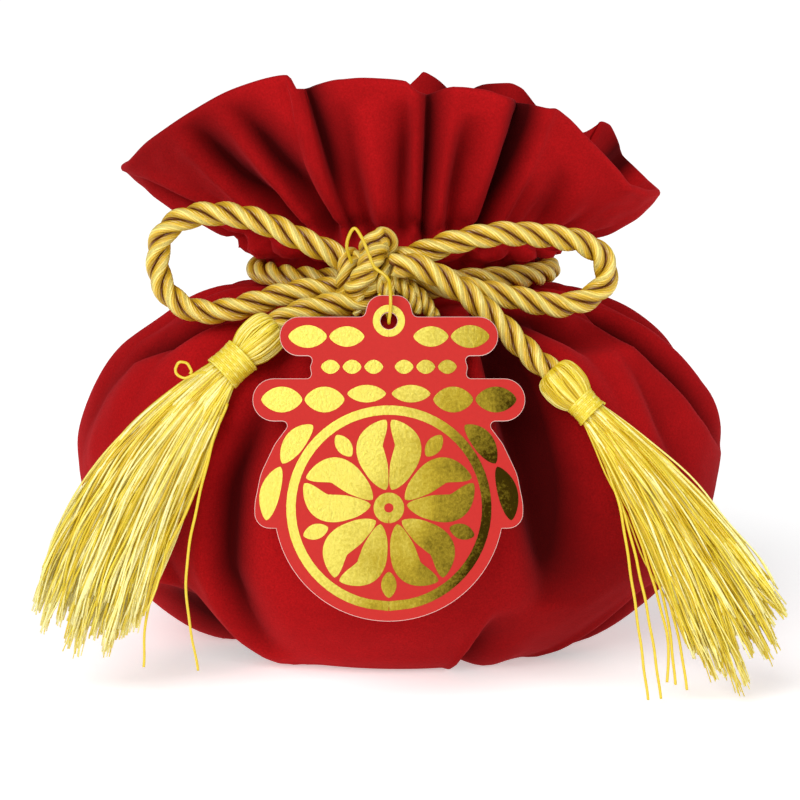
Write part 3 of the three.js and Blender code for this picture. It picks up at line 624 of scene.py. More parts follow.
def rim_drop(angle):
    """Drop of the rim at an angle: a monotone cubic from one table row to the next, all around the mouth."""
    table = np.vstack([RIM_DROPS[-1:] - (360, 0), RIM_DROPS, RIM_DROPS[:2] + (360, 0)])
    step = np.diff(table, axis=0)
    slope = np.concatenate([[0], calm_slopes(step[:, 1] / step[:, 0])])
    turn = RIM_DROPS[0, 0] + (angle - RIM_DROPS[0, 0]) % 360
    low = np.clip(np.searchsorted(table[:, 0], turn, side="right") - 1, 1, len(RIM_DROPS))
    width = step[low, 0]
    t = (turn - table[low, 0]) / width
    return (
        table[low, 1] * (1 + 2 * t) * (1 - t) ** 2
        + table[low + 1, 1] * t ** 2 * (3 - 2 * t)
        + width * t * (1 - t) * (slope[low] * (1 - t) - slope[low + 1] * t)
    )


def fold_moves(row, angle):
    """Depth of the folds, the swell beside them and the tuck of their left edges. A fold's middle angle is
    a parabola of the row, its section a bell that is steeper on one side, and it fades out at both ends."""
    depth = np.zeros(row.shape)
    swell = np.zeros(row.shape)
    tuck = np.zeros(row.shape)
    for first, last, start, halfway, end, half_width, deep, skew, tucked in FOLD_LINES:
        share = (row - first) / (last - first)
        inside = np.clip(share, 0, 1)
        middle = (
            start * (1 - share) * (1 - 2 * share)
            + 4 * halfway * share * (1 - share)
            + end * share * (2 * share - 1)
        )
        fade = np.sin(np.pi * inside) ** FOLD_FADE
        offset = wrapped(angle - middle) / half_width
        offset = offset / (1 + skew * np.tanh(2 * offset))
        depth += deep * fade * np.exp(-np.abs(offset) ** FOLD_POINT)
        swell += FOLD_SWELL * deep * fade * np.exp(-((np.abs(offset) - FOLD_SWELL_AT) ** 2))
        tuck += tucked * fade * np.exp(-((offset + FOLD_TUCK_AT) ** 2))
    return depth, swell, tuck


def fine_waves(row, angle, rng, count, rows, turns):
    """Sum of slow sine waves over the cloth with random directions, between about -1 and 1."""
    total = np.zeros(row.shape)
    turn = np.radians(angle)
    for _ in range(count):
        around = rng.integers(1, turns + 1) * rng.choice((-1, 1))
        total += np.sin(around * turn + rng.uniform(0.3, rows) * row + rng.uniform(0, 6.3))
    return total / np.sqrt(count)


def gather_wave(angle):
    """Round crests with narrow valleys, spread a little unevenly around the neck."""
    turn = np.radians(angle)
    uneven = turn + sum(size * np.sin(waves * turn + phase) for size, waves, phase in GATHER_DRIFTS)
    return 2 * np.sqrt(np.cos(GATHER_COUNT * uneven / 2) ** 2 + GATHER_SHARPNESS) - 4 / np.pi


def bell(row, middle, spread):
    """Bell over the rows, 1 at its middle."""
    return np.exp(-(((row - middle) / spread) ** 2))


def smooth_wall(row, angle):
    """The wall before any fold: an oval ring of the section table, lowered where the rim droops."""
    columns = eased_rows(SECTIONS, row)
    height, droop, half_width, half_depth = (columns[..., k] for k in range(4))
    turn = np.radians(angle)
    hollow = HOLLOW_DEPTH * bell(row, HOLLOW_ROW, HOLLOW_SPREAD) * np.maximum(np.sin(turn), 0) ** 2
    neck = NECK_SHIFT * bell(row, NECK_ROW, NECK_SPREAD)
    point = np.stack(
        [
            half_width * np.sin(turn) - hollow + neck + droop * RIM_SHIFT,
            -half_depth * np.cos(turn),
            height - droop * rim_drop(angle),
        ],
        -1,
    )
    return point, columns


def wall_grid(rows, angles):
    """Outer face of the cloth: the smooth wall moved along its own normal by gathers, folds and fine waves.
    Also gives its normals, the way up the cloth and the depth of the folds, which is painted into the velvet
    as shade."""
    row, angle = np.meshgrid(rows, angles, indexing="ij")
    last = len(SECTIONS) - 1
    depth, swell, tuck = fold_moves(row, angle)
    angle = angle + tuck
    base, columns = smooth_wall(row, angle)
    above, below = np.minimum(row + 0.6, last), np.maximum(row - 0.6, 0)
    along = smooth_wall(above, angle)[0] - smooth_wall(below, angle)[0]
    around = smooth_wall(row, angle + 0.5)[0] - smooth_wall(row, angle - 0.5)[0]
    normal = unit(np.cross(around, along))
    ruffle = columns[..., 5]
    gather = columns[..., 4] * gather_wave(angle)
    rng = np.random.default_rng(CLOTH_SEED)
    puffs = fine_waves(row, angle, rng, *PUFF_WAVES)
    creasing = fine_waves(row, angle, rng, *CREASE_WAVES)
    raised = np.clip(row / 3 - 0.4, 0, 1)
    seam = bell(row - PINCH_WAVER * creasing, PINCH_ROW, PINCH_SPREAD)
    casing = bell(row, PINCH_ROW - CASING_BELOW, CASING_SPREAD)
    sink = depth + PINCH_DEPTH * seam
    move = (
        gather
        + RUFFLE_BULGE * ruffle
        + swell
        - sink
        + casing * (CASING_HEIGHT + CASING_WAVER * creasing)
        + raised * (PUFF_HEIGHT * puffs + CREASE_HEIGHT * creasing)
    )
    point = base + normal * move[..., None]
    point[..., 2] -= FOLD_DROP * ruffle * depth
    shaded = 1 - PINCH_LIGHT * bell(row, PINCH_ROW + PINCH_LIGHT_ABOVE, 1.0)
    return point, normal, unit(along), shaded * (sink - 0.5 * gather)


def build_cloth(settings, finish):
    """Outer face, rounded rim and inner face of the pouch as one closed skin."""
    last = len(SECTIONS) - 1
    angles = np.linspace(0, 360, settings.cloth_columns, endpoint=False)
    probe = np.linspace(0, last, 600)
    line = smooth_wall(probe, np.zeros_like(probe))[0]
    along = np.concatenate([[0], np.cumsum(np.linalg.norm(np.diff(line, axis=0), axis=1))])
    outer_rows = np.interp(np.linspace(0, along[-1], settings.cloth_rows), along, probe)
    inner_rows = np.interp(np.linspace(along[-1], 0, settings.cloth_rows // 2), along, probe)
    thickness = settings.cloth_thickness / MM
    outer, normal, up, sink = wall_grid(outer_rows, angles)
    inner, inner_normal, _, inner_sink = wall_grid(inner_rows, angles)
    inner = inner - inner_normal * thickness
    turn = np.linspace(0, np.pi, 7)[1:-1, None, None]
    half = 0.5 * thickness
    middle = outer[-1] - half * normal[-1]
    rim = middle + half * (np.cos(turn) * normal[-1] + np.sin(turn) * up[-1])
    columns = len(angles)
    base = np.broadcast_to((0.0, 0.0, 0.0), (1, columns, 3))
    floor = np.broadcast_to((0.0, 0.0, thickness), (1, columns, 3))
    outer[..., 2] = np.maximum(outer[..., 2], 0.0)
    inner[..., 2] = np.maximum(inner[..., 2], thickness)
    skin = np.concatenate([base, outer, rim, inner, floor]) * MM
    level = np.zeros((1, columns))
    depth = np.concatenate([level, sink, np.repeat(sink[-1:], len(rim), 0), inner_sink, level])
    shape = Shape()
    # The tint carries the depth of the folds, and the velvet paints it in as shade.
    shape.add_grid(skin, wrap=True, tint=depth / FULL_SHADE_DEPTH)
    piece = shape.build("velvet_pouch", finish)
    weld(piece)
    return piece


def weld(piece):
    """Closes the poles of a skin by merging points that lie on each other."""
    mesh = bmesh.new()
    mesh.from_mesh(piece.data)
    bmesh.ops.remove_doubles(mesh, verts=mesh.verts, dist=1e-6)
    mesh.to_mesh(piece.data)
    mesh.free()


# Cord

def ways_across(lines, reference):
    """Two ways across a line at each station, square to each other, the first also to a fixed reference."""
    tangent = unit(np.gradient(lines, axis=-2))
    normal = unit(np.cross(tangent, np.asarray(reference, float)))
    return normal, np.cross(tangent, normal)


def twisted_cord(shape, line, diameter, pitch, reference, phase=0.0, sides=14):
    """Strands wound around a line: each strand's middle runs on a helix inside the cord,
    and its oval section is carried along that helix. The tint is 1 on the outside and 0 at the core."""
    length = line_length(line)
    normal, binormal = ways_across(line, reference)
    turn = 2 * np.pi * np.linspace(0, length, len(line)) / pitch + phase
    around = np.linspace(0, 2 * np.pi, sides, endpoint=False)
    strand = np.arange(STRAND_COUNT)[:, None] * 2 * np.pi / STRAND_COUNT + turn[None]
    out = np.cos(strand)[..., None] * normal + np.sin(strand)[..., None] * binormal
    middle = line + STRAND_OUT * diameter * out
    lay = unit(np.gradient(middle, axis=1))
    side = unit(np.cross(lay, out))
    out = np.cross(side, lay)
    section = (
        np.cos(around)[:, None] * out[:, :, None] * STRAND_HALF_HEIGHT * diameter
        + np.sin(around)[:, None] * side[:, :, None] * STRAND_HALF_WIDTH * diameter
    )
    u, v = np.meshgrid(np.linspace(0, length / diameter, len(line)), np.linspace(0, 1, sides), indexing="ij")
    # This tint paints highlights on the strands' crests and shade in their grooves.
    tint = np.broadcast_to(0.5 + 0.5 * np.cos(around), (STRAND_COUNT, len(line), sides))
    shape.add_grid(middle[:, :, None] + section, wrap=True, uv=np.stack([u, v], -1), caps=True, tint=tint)


def round_tubes(shape, lines, radius, sides=6, tint=0.5, reference=(0.31, 0.9, 0.3)):
    """Round tubes along a stack of lines; radius is a number or one per station."""
    normal, binormal = ways_across(lines, reference)
    around = np.linspace(0, 2 * np.pi, sides, endpoint=False)
    spread = np.broadcast_to(radius, lines.shape[:-1])[..., None, None]
    section = (
        np.cos(around)[:, None] * normal[..., None, :]
        + np.sin(around)[:, None] * binormal[..., None, :]
    )
    shape.add_grid(lines[..., None, :] + spread * section, wrap=True, caps=True, tint=tint)


def neck_line():
    """Middle line of the cord around the neck, open behind the knot."""
    turn = np.radians(np.linspace(*NECK_CORD_SPAN, 240))
    across = NECK_SHIFT * MM + NECK_CORD_HALF[0] * np.sin(turn)
    level = np.full_like(turn, NECK_CORD_HEIGHT)
    return even_line(np.stack([across, -NECK_CORD_HALF[1] * np.cos(turn), level], 1), 300)


def bow_lines():
    """Middle lines of the three free cords of the bow."""
    left = np.vstack([LOOP_LEFT_ROUTE[::-1], KNOT_PASSAGE, TAIL_LEFT_ROUTE])
    return {
        "bow_cord_left": smooth_line(left, 260),
        "bow_loop_right": smooth_line(LOOP_RIGHT_ROUTE, 220),
        "bow_tail_right": smooth_line(TAIL_RIGHT_ROUTE, 110),
    }


def build_cord(name, line, settings, reference):
    shape = Shape()
    twisted_cord(shape, line, settings.cord_diameter, settings.cord_pitch, reference)
    return shape.build(name, material("cord", settings))


def build_knot(settings):
    """Knot of the bow: a slanting wrap and smaller turns beside it, a curled end and hanging strands."""
    shape = Shape()
    diameter = settings.cord_diameter
    tight = KNOT_PITCH * settings.cord_pitch
    turn = np.linspace(0, 2 * np.pi, 120)
    forward = np.array((0.0, 1.0, 0.0))
    for middle, axis, half_depth, half_height, width in KNOT_TURNS:
        axis = unit(np.array(axis))
        second = np.cross(axis, forward)
        ring = MM * (
            np.array(middle)
            + half_depth * np.cos(turn)[:, None] * forward
            + half_height * np.sin(turn)[:, None] * second
        )
        twisted_cord(shape, ring, width * diameter, tight, axis, phase=KNOT_PHASE)
    twisted_cord(shape, smooth_line(CURL_ROUTE, 60), CURL_WIDTH * diameter, tight, (1, 0.2, 0))
    for strand in KNOT_STRANDS:
        line = smooth_line(MM * np.array(strand), 40)
        twisted_cord(shape, line, KNOT_STRAND_WIDTH * diameter, KNOT_STRAND_PITCH * tight, (0.1, 1, 0.1))
    return shape.build("bow_knot_wraps", material("cord", settings))


# Materials

class Wire:
    """A shader value: Python arithmetic on it adds Math nodes to its tree."""

    def __init__(self, paint, socket):
        self.paint, self.socket = paint, socket

    def _math(self, operation, first, second):
        node = self.paint.node("ShaderNodeMath", {"operation": operation}, {0: first, 1: second})
        return Wire(self.paint, node.outputs[0])

    def __add__(self, other):
        return self._math("ADD", self, other)

    def __radd__(self, other):
        return self._math("ADD", other, self)

    def __sub__(self, other):
        return self._math("SUBTRACT", self, other)

    def __rsub__(self, other):
        return self._math("SUBTRACT", other, self)

    def __mul__(self, other):
        return self._math("MULTIPLY", self, other)

    def __rmul__(self, other):
        return self._math("MULTIPLY", other, self)

    def wave(self):
        return self._math("SINE", self, 0.0)

    def over(self, limit):
        return self._math("GREATER_THAN", self, limit)

    def clamp(self):
        return self._math("MAXIMUM", self._math("MINIMUM", self, 1.0), 0.0)

    def ramp(self, start, slope):
        """0 at the start and 1 further on, above it for a rising slope and below it for a falling one."""
        return ((self - start) * slope).clamp()


class Paint:
    """One material and the nodes in it."""

    def __init__(self, name):
        self.material = bpy.data.materials.new(name)
        self.material.use_nodes = True
        self.tree = self.material.node_tree
        self.shader = self.tree.nodes["Principled BSDF"]

    def node(self, kind, settings=None, inputs=None):
        node = self.tree.nodes.new(kind)
        for key, value in (settings or {}).items():
            setattr(node, key, value)
        for key, value in (inputs or {}).items():
            self.feed(node.inputs[key], value)
        return node

    def feed(self, socket, value):
        if isinstance(value, Wire):
            self.tree.links.new(value.socket, socket)
        elif isinstance(value, bpy.types.NodeSocket):
            self.tree.links.new(value, socket)
        else:
            socket.default_value = value

    def wire(self, kind, output, settings=None, inputs=None):
        return Wire(self, self.node(kind, settings, inputs).outputs[output])

    def noise(self, vector, name):
        scale, detail, roughness = NOISES[name]
        inputs = {"Vector": vector, "Scale": scale, "Detail": detail, "Roughness": roughness}
        return self.wire("ShaderNodeTexNoise", "Fac", None, inputs)

    def mix(self, share, first, second):
        node = self.node("ShaderNodeMix", {"data_type": "RGBA"}, {"Factor": share, 6: first, 7: second})
        return node.outputs[2]

    def place(self):
        return self.node("ShaderNodeTexCoord").outputs["Object"]

    def tint(self):
        """The tint of each point of the mesh, also carrying painted light and shade."""
        return self.wire("ShaderNodeAttribute", "Fac", {"attribute_name": "tint"})

    def split(self, vector):
        """The three parts of a vector."""
        node = self.node("ShaderNodeSeparateXYZ", None, {0: vector})
        return [Wire(self, output) for output in node.outputs]

    def set(self, **sockets):
        for key, value in sockets.items():
            self.feed(self.shader.inputs[key.replace("_", " ")], value)

    def bump(self, height, strength, distance):
        node = self.node(
            "ShaderNodeBump", None, {"Height": height, "Strength": strength, "Distance": distance}
        )
        self.feed(self.shader.inputs["Normal"], node.outputs["Normal"])


def rgba(color):
    return (*color, 1.0)


def shade(color, factor):
    return tuple(min(1.0, c * factor) for c in color) + (1.0,)


def velvet_material(settings):
    """Deep pile: brushed lighter and darker in drifts, painted shade in the folds and in patches, and a soft
    red sheen.
    """
    paint = Paint("velvet")
    tones = {name: shade(settings.velvet_color, share) for name, share in VELVET_TONES.items()}
    place = paint.place()
    drift = paint.noise(place, "velvet_drift")
    pile = paint.noise(place, "velvet_pile")
    smudge = paint.noise(place, "velvet_smudge")
    color = paint.mix(0.6 * drift + 0.4 * smudge, tones["dark"], tones["light"])
    color = paint.mix(pile.ramp(0.3, 1.7), color, tones["pile"])
    # Painted shade: the deeper the fold, the darker the velvet is painted.
    color = paint.mix(paint.tint().ramp(0.0, 1.7), color, tones["fold"])
    across, _, height = paint.split(place)
    # Painted shade in patches: darker at the lower right of the belly and the upper left of the ruffle.
    patch_shade = 0.0
    for level, rise, edge, run, strength in SHADE_PATCHES:
        patch_shade = height.ramp(level, rise) * across.ramp(edge, run) * strength + patch_shade
    color = paint.mix(patch_shade, color, tones["patch_shade"])
    paint.set(Base_Color=color, Roughness=0.95, Sheen_Weight=0.28, Sheen_Roughness=0.45)
    paint.set(Sheen_Tint=rgba(VELVET_SHEEN), Specular_IOR_Level=0.05)
    paint.bump(pile + 0.8 * drift, strength=0.22, distance=0.0003)
    return paint.material


def cord_material(settings):
    """Silky thread laid at a slant in every strand: gold flanks, painted crest highlights and painted groove
    shade.
    """
    paint = Paint("twisted_cord")
    along, around, _ = paint.split(paint.node("ShaderNodeUVMap", {"uv_map": "UVMap"}).outputs[0])
    drift = paint.noise(paint.place(), "cord_drift")
    threads = (2 * np.pi * (around * CORD_THREADS - along * CORD_SLANT + 0.6 * drift)).wave() * 0.5 + 0.5
    out = paint.tint() + 0.12 * (drift - 0.5)
    flank = paint.mix(drift, shade(settings.cord_color, 0.6), shade(settings.cord_color, 0.9))
    # Painted light and shade across each strand: brighter gold and a highlight towards the crest, dark shade
    # in the groove.
    gold = paint.mix(out.ramp(0.74, 5.5), flank, shade(settings.cord_color, 1.22))
    crest = paint.mix(out.ramp(0.88, 9.0), gold, rgba(CORD_HIGHLIGHT))
    striped = paint.mix(0.45 * threads, crest, rgba(CORD_GAP))
    color = paint.mix(out.ramp(0.62, -6.0), striped, rgba(CORD_GROOVE_SHADE))
    paint.set(Base_Color=color, Roughness=0.3, Specular_IOR_Level=0.65)
    paint.bump(1.0 - threads, strength=0.55, distance=0.0002)
    return paint.material


def fringe_material(settings):
    """Loose silky thread: each has its own tint between deep gold and pale lemon, in twisted flecks, with a
    painted glow.
    """
    paint = Paint("fringe_thread")
    tint = paint.tint()
    flecks = paint.noise(paint.place(), "fringe_flecks")
    color = paint.mix(tint.ramp(0.0, 2.0), rgba(FRINGE_DEEP), rgba(settings.fringe_color))
    color = paint.mix(tint.ramp(0.5, 2.0), color, rgba(FRINGE_PALE))
    color = paint.mix(flecks.ramp(0.4, 2.6) * 0.4, color, rgba(FRINGE_FLECK))
    paint.set(Base_Color=color, Roughness=0.28, Specular_IOR_Level=0.6)
    # Painted light: the threads glow faintly in their own colour to lift the shade among them.
    paint.set(Emission_Color=color, Emission_Strength=FRINGE_GLOW)
    return paint.material


def card_material(settings):
    """Coated card: fine mottle on the printed face, pale fibre on the cut edge."""
    paint = Paint("card")
    place = paint.place()
    facing = {0: place, 1: tuple(CARD_FACING)}
    depth = paint.wire("ShaderNodeVectorMath", "Value", {"operation": "DOT_PRODUCT"}, facing)
    front = float(CARD_TOP @ CARD_FACING) + CARD_THICKNESS
    edge = 1.0 - depth.over(front - CARD_FACE_DEPTH)
    mottle = paint.noise(place, "card_mottle")
    face = paint.mix(mottle, shade(settings.card_color, 0.92), shade(settings.card_color, 1.06))
    color = paint.mix(edge, face, rgba(CARD_EDGE))
    paint.set(Base_Color=color, Roughness=0.6, Specular_IOR_Level=0.15)
    paint.bump(mottle, strength=0.12, distance=0.0001)
    return paint.material


def foil_material(settings):
    """Stamped gold foil: fine crinkle, and a painted reflection from lemon at the upper left to bronze at the
    lower right.
    """
    paint = Paint("gold_foil")
    place = paint.place()
    across, _, height = paint.split(place)
    grain = paint.noise(place, "foil_grain")
    wash = paint.noise(place, "foil_wash")
    # Painted reflection: the foil is painted darker towards the right and the bottom of the card.
    tone = FOIL_REFLECTION + across * FOIL_REFLECTION_RIGHT - height * FOIL_REFLECTION_UP
    tone = (tone + FOIL_REFLECTION_WASH * (wash - 0.5) + FOIL_REFLECTION_GRAIN * (grain - 0.5)).clamp()
    light = paint.mix(grain.ramp(0.4, 2.4) * 0.6, rgba(settings.foil_color), rgba(FOIL_GRAIN))
    light = paint.mix(tone.ramp(0.0, 2.0), light, rgba(FOIL_REFLECTION_MID))
    color = paint.mix(tone.ramp(0.5, 2.0), light, rgba(FOIL_REFLECTION_DARK))
    paint.set(Base_Color=color, Metallic=1.0, Roughness=0.26 + 0.2 * grain)
    paint.bump(grain, strength=0.5, distance=0.00008)
    return paint.material


def stage_material():
    """Pale floor with a faint glow, so that it stays nearly white under the bag."""
    paint = Paint("stage_white")
    drift = paint.noise(paint.place(), "floor_drift")
    color = paint.mix(drift, rgba((0.94, 0.94, 0.94)), rgba((0.96, 0.96, 0.96)))
    paint.set(Base_Color=color, Roughness=0.9)
    paint.set(Emission_Color=rgba((1.0, 1.0, 1.0)), Emission_Strength=FLOOR_GLOW)
    return paint.material


MATERIAL_MAKERS = {
    "velvet": velvet_material,
    "cord": cord_material,
    "fringe": fringe_material,
    "card": card_material,
    "foil": foil_material,
}
MATERIALS = {}


def material(name, settings):
    """The finish of that name, made once."""
    if name not in MATERIALS:
        MATERIALS[name] = MATERIAL_MAKERS[name](settings)
    return MATERIALS[name]


# Tassels

def build_tassel(settings, side, rng):
    """Head of threads over a round body, loose fringe in locks, and a wound band around the neck."""
    top, aim, *edges = TASSELS[side]
    finish = material("fringe", settings)
    axis = unit(aim - top)
    across = unit(np.cross(axis, (0.0, 1.0, 0.0)))
    ways = across, np.cross(axis, across)
    neck = top + (HEAD_LENGTHS[side] + BAND_SPANS[side] - FRINGE_OVERLAP) * axis
    root = neck, FRINGE_ROOT * BAND_RADII[side]
    shape = Shape()
    add_head(shape, (top, axis), ways, HEAD_LENGTHS[side], rng)
    add_fringe(shape, settings, root, ways, edges, FRINGE_TONES[side], rng)
    add_strays(shape, STRAYS[side])
    settle(shape.build(f"tassel_{side}_threads", finish), "fringe", f"tassel_{side}")
    shape = Shape()
    add_band(shape, (top, axis), ways, side, rng)
    settle(shape.build(f"band_{side}_winding", finish), "fringe", f"band_{side}")


def add_head(shape, spine, ways, length, rng):
    """Round body turned from the head's profile, with threads drawn over it from the top to the neck."""
    top, axis = spine
    across, depth = ways
    profile = HEAD_PROFILE * (1.0, length / HEAD_PROFILE_LENGTH)
    last = len(profile) - 1

    def at(radius, drop, turn):
        out = np.cos(turn)[..., None] * across + np.sin(turn)[..., None] * depth
        return top + drop[..., None] * axis + radius[..., None] * out

    rows = eased_rows(profile, np.linspace(0, last, HEAD_RINGS))
    around = np.linspace(0, 2 * np.pi, HEAD_SIDES, endpoint=False)
    radius, drop, turn = np.broadcast_arrays(rows[:, :1], rows[:, 1:], around)
    shape.add_grid(at(radius - HEAD_INSET, drop, turn), wrap=True, caps=True, tint=0.1, flip=True)

    rows = eased_rows(profile, np.linspace(0.3, last - 1, HEAD_STATIONS))
    along = np.linspace(0, 1, HEAD_STATIONS)
    each = (HEAD_THREADS, 1)
    start = 2 * np.pi * (np.arange(HEAD_THREADS) + HEAD_JITTER * rng.random(HEAD_THREADS)) / HEAD_THREADS
    sway = rng.normal(0, HEAD_SWAY, each) * np.sin(np.pi * along + rng.uniform(0, 3, each))
    lift = MM * rng.uniform(*HEAD_LIFT, each) * np.sin(np.pi * along)
    radius, drop = np.broadcast_arrays(rows[:, 0] + lift, rows[:, 1])
    threads = at(radius, drop, start[:, None] + HEAD_TWIST * along + sway)
    round_tubes(shape, threads, HEAD_THREAD_RADIUS, sides=5, tint=rng.uniform(*HEAD_TINT, HEAD_THREADS))


def add_fringe(shape, settings, root, ways, edges, tone, rng):
    """Threads as tubes on parabolas from a disc in the neck: spread between the fringe's two edges halfway
    down, and drawn together again into pointed locks of uneven length at the tips."""
    neck, neck_radius = root
    across, depth = ways
    outer_middle, inner_middle, outer_tip, inner_tip = edges
    count = settings.thread_count
    share = (np.arange(count) + rng.random(count)) / count
    layer = rng.uniform(-1, 1, count)
    side = np.sign((inner_middle - outer_middle) @ across) * (2 * share - 1)
    start = neck + neck_radius * (side[:, None] * across + (layer * np.sqrt(1 - side ** 2))[:, None] * depth)

    split = np.sort(np.arange(1, LOCK_COUNT) + LOCK_JITTER * (rng.random(LOCK_COUNT - 1) - 0.5)) / LOCK_COUNT
    lock = np.searchsorted(split, share)
    limits = np.concatenate([[0], split, [1]])
    gathered = 0.5 * (limits[lock] + limits[lock + 1])
    beside = (share - gathered) / (limits[lock + 1] - limits[lock])
    end = gathered + LOCK_SPREAD * (share - gathered) + rng.normal(0, 0.01, count)
    tip = outer_tip + (inner_tip - outer_tip) * end[:, None]
    tip[:, 2] -= TIP_BOW * np.sin(np.pi * share)
    tip[:, 1] += TIP_DEPTH * layer

    swayed = share + FRINGE_SWAY * np.sin(FRINGE_SWAY_TURNS[0] * share + FRINGE_SWAY_TURNS[1] * layer)
    middle = outer_middle + (inner_middle - outer_middle) * swayed[:, None]
    middle[:, 1] += MIDDLE_DEPTH * layer * np.sin(np.pi * np.clip(share, 0.12, 0.88))
    middle += rng.normal(0, MIDDLE_SCATTER, (count, 3))
    bend = 2 * middle - 0.5 * (start + tip)
    reach = LOCK_REACH + rng.uniform(-LOCK_SHORTER, 0.0, LOCK_COUNT)[lock]
    reach = reach - LOCK_TAPER * np.abs(beside) ** 1.5 - THREAD_SHORTER * rng.random(count) ** 3
    t = np.linspace(0, 1, THREAD_STATIONS)[None, :, None] * reach[:, None, None]
    line = (1 - t) ** 2 * start[:, None] + 2 * t * (1 - t) * bend[:, None] + t ** 2 * tip[:, None]
    slow = rng.uniform(1.2, 3.0, (count, 1, 3)) * t + rng.uniform(0, 1, (count, 1, 3))
    line = line + MM * (ROOT_WAVER + TIP_WAVER * t) * np.minimum(1, 3 * t) * np.sin(2 * np.pi * slow)
    line[..., 2] = np.maximum(line[..., 2], FRINGE_FLOOR)

    taper = 1 - TIP_THINNING * t[..., 0] ** 3
    radius = 0.5 * settings.thread_diameter * rng.uniform(0.75, 1.15, (count, 1)) * taper
    stripes = STRIPE_TINT * np.sin(2 * np.pi * (STRIPE_COUNT * share + 0.3 * layer))
    tint = np.clip(tone + stripes + rng.normal(0, TINT_SCATTER, count), 0, 1)
    # Painted light: the tips are painted paler, against the shade among the thin threads.
    tint = np.clip(tint[:, None, None] + TIP_PAINTED_LIGHT * (t / reach[:, None, None]) ** 2, 0, 1)
    round_tubes(shape, line, radius, sides=4, tint=tint)


def add_strays(shape, strays):
    """Single long threads beside the fringe, with a fine waver."""
    turn = np.linspace(0, STRAY_WAVER_TURN, STRAY_STATIONS)
    for stray in strays:
        line = smooth_line(MM * np.array(stray), STRAY_STATIONS) + np.sin(turn)[:, None] * STRAY_WAVER
        round_tubes(shape, line[None], STRAY_RADIUS, sides=6, tint=0.3)


def add_band(shape, spine, ways, side, rng):
    """One thread wound closely around the tassel's neck, a little wider at both ends of the band."""
    top, axis = spine
    across, depth = ways
    share = np.linspace(0, 1, BAND_STATIONS)
    climb = HEAD_LENGTHS[side] - BAND_OVERLAP + np.linspace(0, BAND_SPANS[side], BAND_STATIONS)
    turn = 2 * np.pi * (climb - climb[0]) / BAND_PITCH
    radius = BAND_RADII[side] + BAND_FLARE * (2 * share - 1) ** 2 + BAND_WAVER * np.sin(1.7 * turn)
    out = np.cos(turn)[:, None] * across + np.sin(turn)[:, None] * depth
    line = top + climb[:, None] * axis + radius[:, None] * out
    # Painted glints: the winding is tinted paler and deeper along its turns.
    glint = 0.45 + 0.12 * np.sin(0.31 * turn) + rng.uniform(-0.2, 0.2, BAND_STATIONS)
    round_tubes(shape, line[None], BAND_THREAD_RADIUS, sides=7, tint=glint[None, :, None], reference=axis)


# Card and foil

def card_place(across, drop, lift):
    """Point on the card: across and down its face, lifted off it."""
    flat = CARD_TOP + across[..., None] * np.array((1.0, 0.0, 0.0)) + drop[..., None] * CARD_DOWN
    return flat + (CARD_THICKNESS + lift)[..., None] * CARD_FACING


def round_corner(before, corner, after, radius):
    """Arc that touches both sides of a corner, or the bare corner where the radius is nothing."""
    if radius == 0:
        return corner[None]
    back, ahead = unit(before - corner), unit(after - corner)
    half = 0.5 * np.arccos(np.clip(back @ ahead, -1, 1))
    middle = corner + unit(back + ahead) * radius / np.sin(half)
    first, last = (corner + way * radius / np.tan(half) - middle for way in (back, ahead))
    turn = np.pi - 2 * half
    t = np.linspace(0, 1, 9)[:, None]
    return middle + (np.sin((1 - t) * turn) * first + np.sin(t * turn) * last) / np.sin(turn)


def card_outline():
    """Closed outline of the card: rounded corners down the right, the disc's arc, and the mirrored left."""
    places = CARD_OUTLINE[:, :2]
    corners = [
        round_corner(before, corner, after, radius)
        for before, corner, after, radius in zip(places, places[1:], places[2:], CARD_OUTLINE[1:, 2])
    ]
    first = np.arcsin((places[-1, 1] - CARD_DISC_DROP) / CARD_DISC_RADIUS)
    turn = np.linspace(first, np.pi / 2, 40)
    disc = np.stack([CARD_DISC_RADIUS * np.cos(turn), CARD_DISC_DROP + CARD_DISC_RADIUS * np.sin(turn)], 1)
    right = np.vstack([places[:1], *corners, disc])
    right[[0, -1], 0] = 0.0
    return np.vstack([right, (right * (-1, 1))[-2:0:-1]])


def card_walls(shape, loop, outward):
    """Edge of the plate along a closed loop: a small bevel, the cut edge and the bevel behind it."""
    forward = unit(np.roll(loop, -1, axis=0) - np.roll(loop, 1, axis=0))
    inward = outward * np.stack([-forward[:, 1], forward[:, 0]], 1)
    inset = CARD_BEVEL * np.array((1.0, 0.0, 0.0, 1.0))
    lift = np.array((0.0, -CARD_BEVEL * MM, CARD_BEVEL * MM - CARD_THICKNESS, -CARD_THICKNESS))
    rings = (loop + inset[:, None, None] * inward) * MM
    first = shape.count
    grid = card_place(rings[..., 0], rings[..., 1], np.broadcast_to(lift[:, None], rings.shape[:2]))
    shape.add_grid(grid, wrap=True, flip=outward < 0)
    return first, first + 3 * len(loop)


def build_card(finish):
    """Flat plate: walls along the outline and the hole, and each face in two halves."""
    outline = card_outline()
    turn = np.linspace(0, 2 * np.pi, 48, endpoint=False)
    hole = np.stack([CARD_HOLE_RADIUS * np.sin(turn), CARD_HOLE_DROP - CARD_HOLE_RADIUS * np.cos(turn)], 1)
    shape = Shape()
    edges = card_walls(shape, outline, 1)
    rims = card_walls(shape, hole, -1)
    outer = np.arange(len(outline) + 1) % len(outline)
    inner = np.arange(len(hole) + 1) % len(hole)
    bottom, low = len(outline) // 2, len(hole) // 2
    for edge, rim, way in zip(edges, rims, (-1, 1)):
        right = np.concatenate([edge + outer[:bottom + 1], rim + inner[:low + 1][::-1]])
        left = np.concatenate([edge + outer[bottom:], rim + inner[low:][::-1]])
        shape.faces.extend([right[::way].tolist(), left[::way].tolist()])
    return shape.build("card_plate", finish, smooth=False)


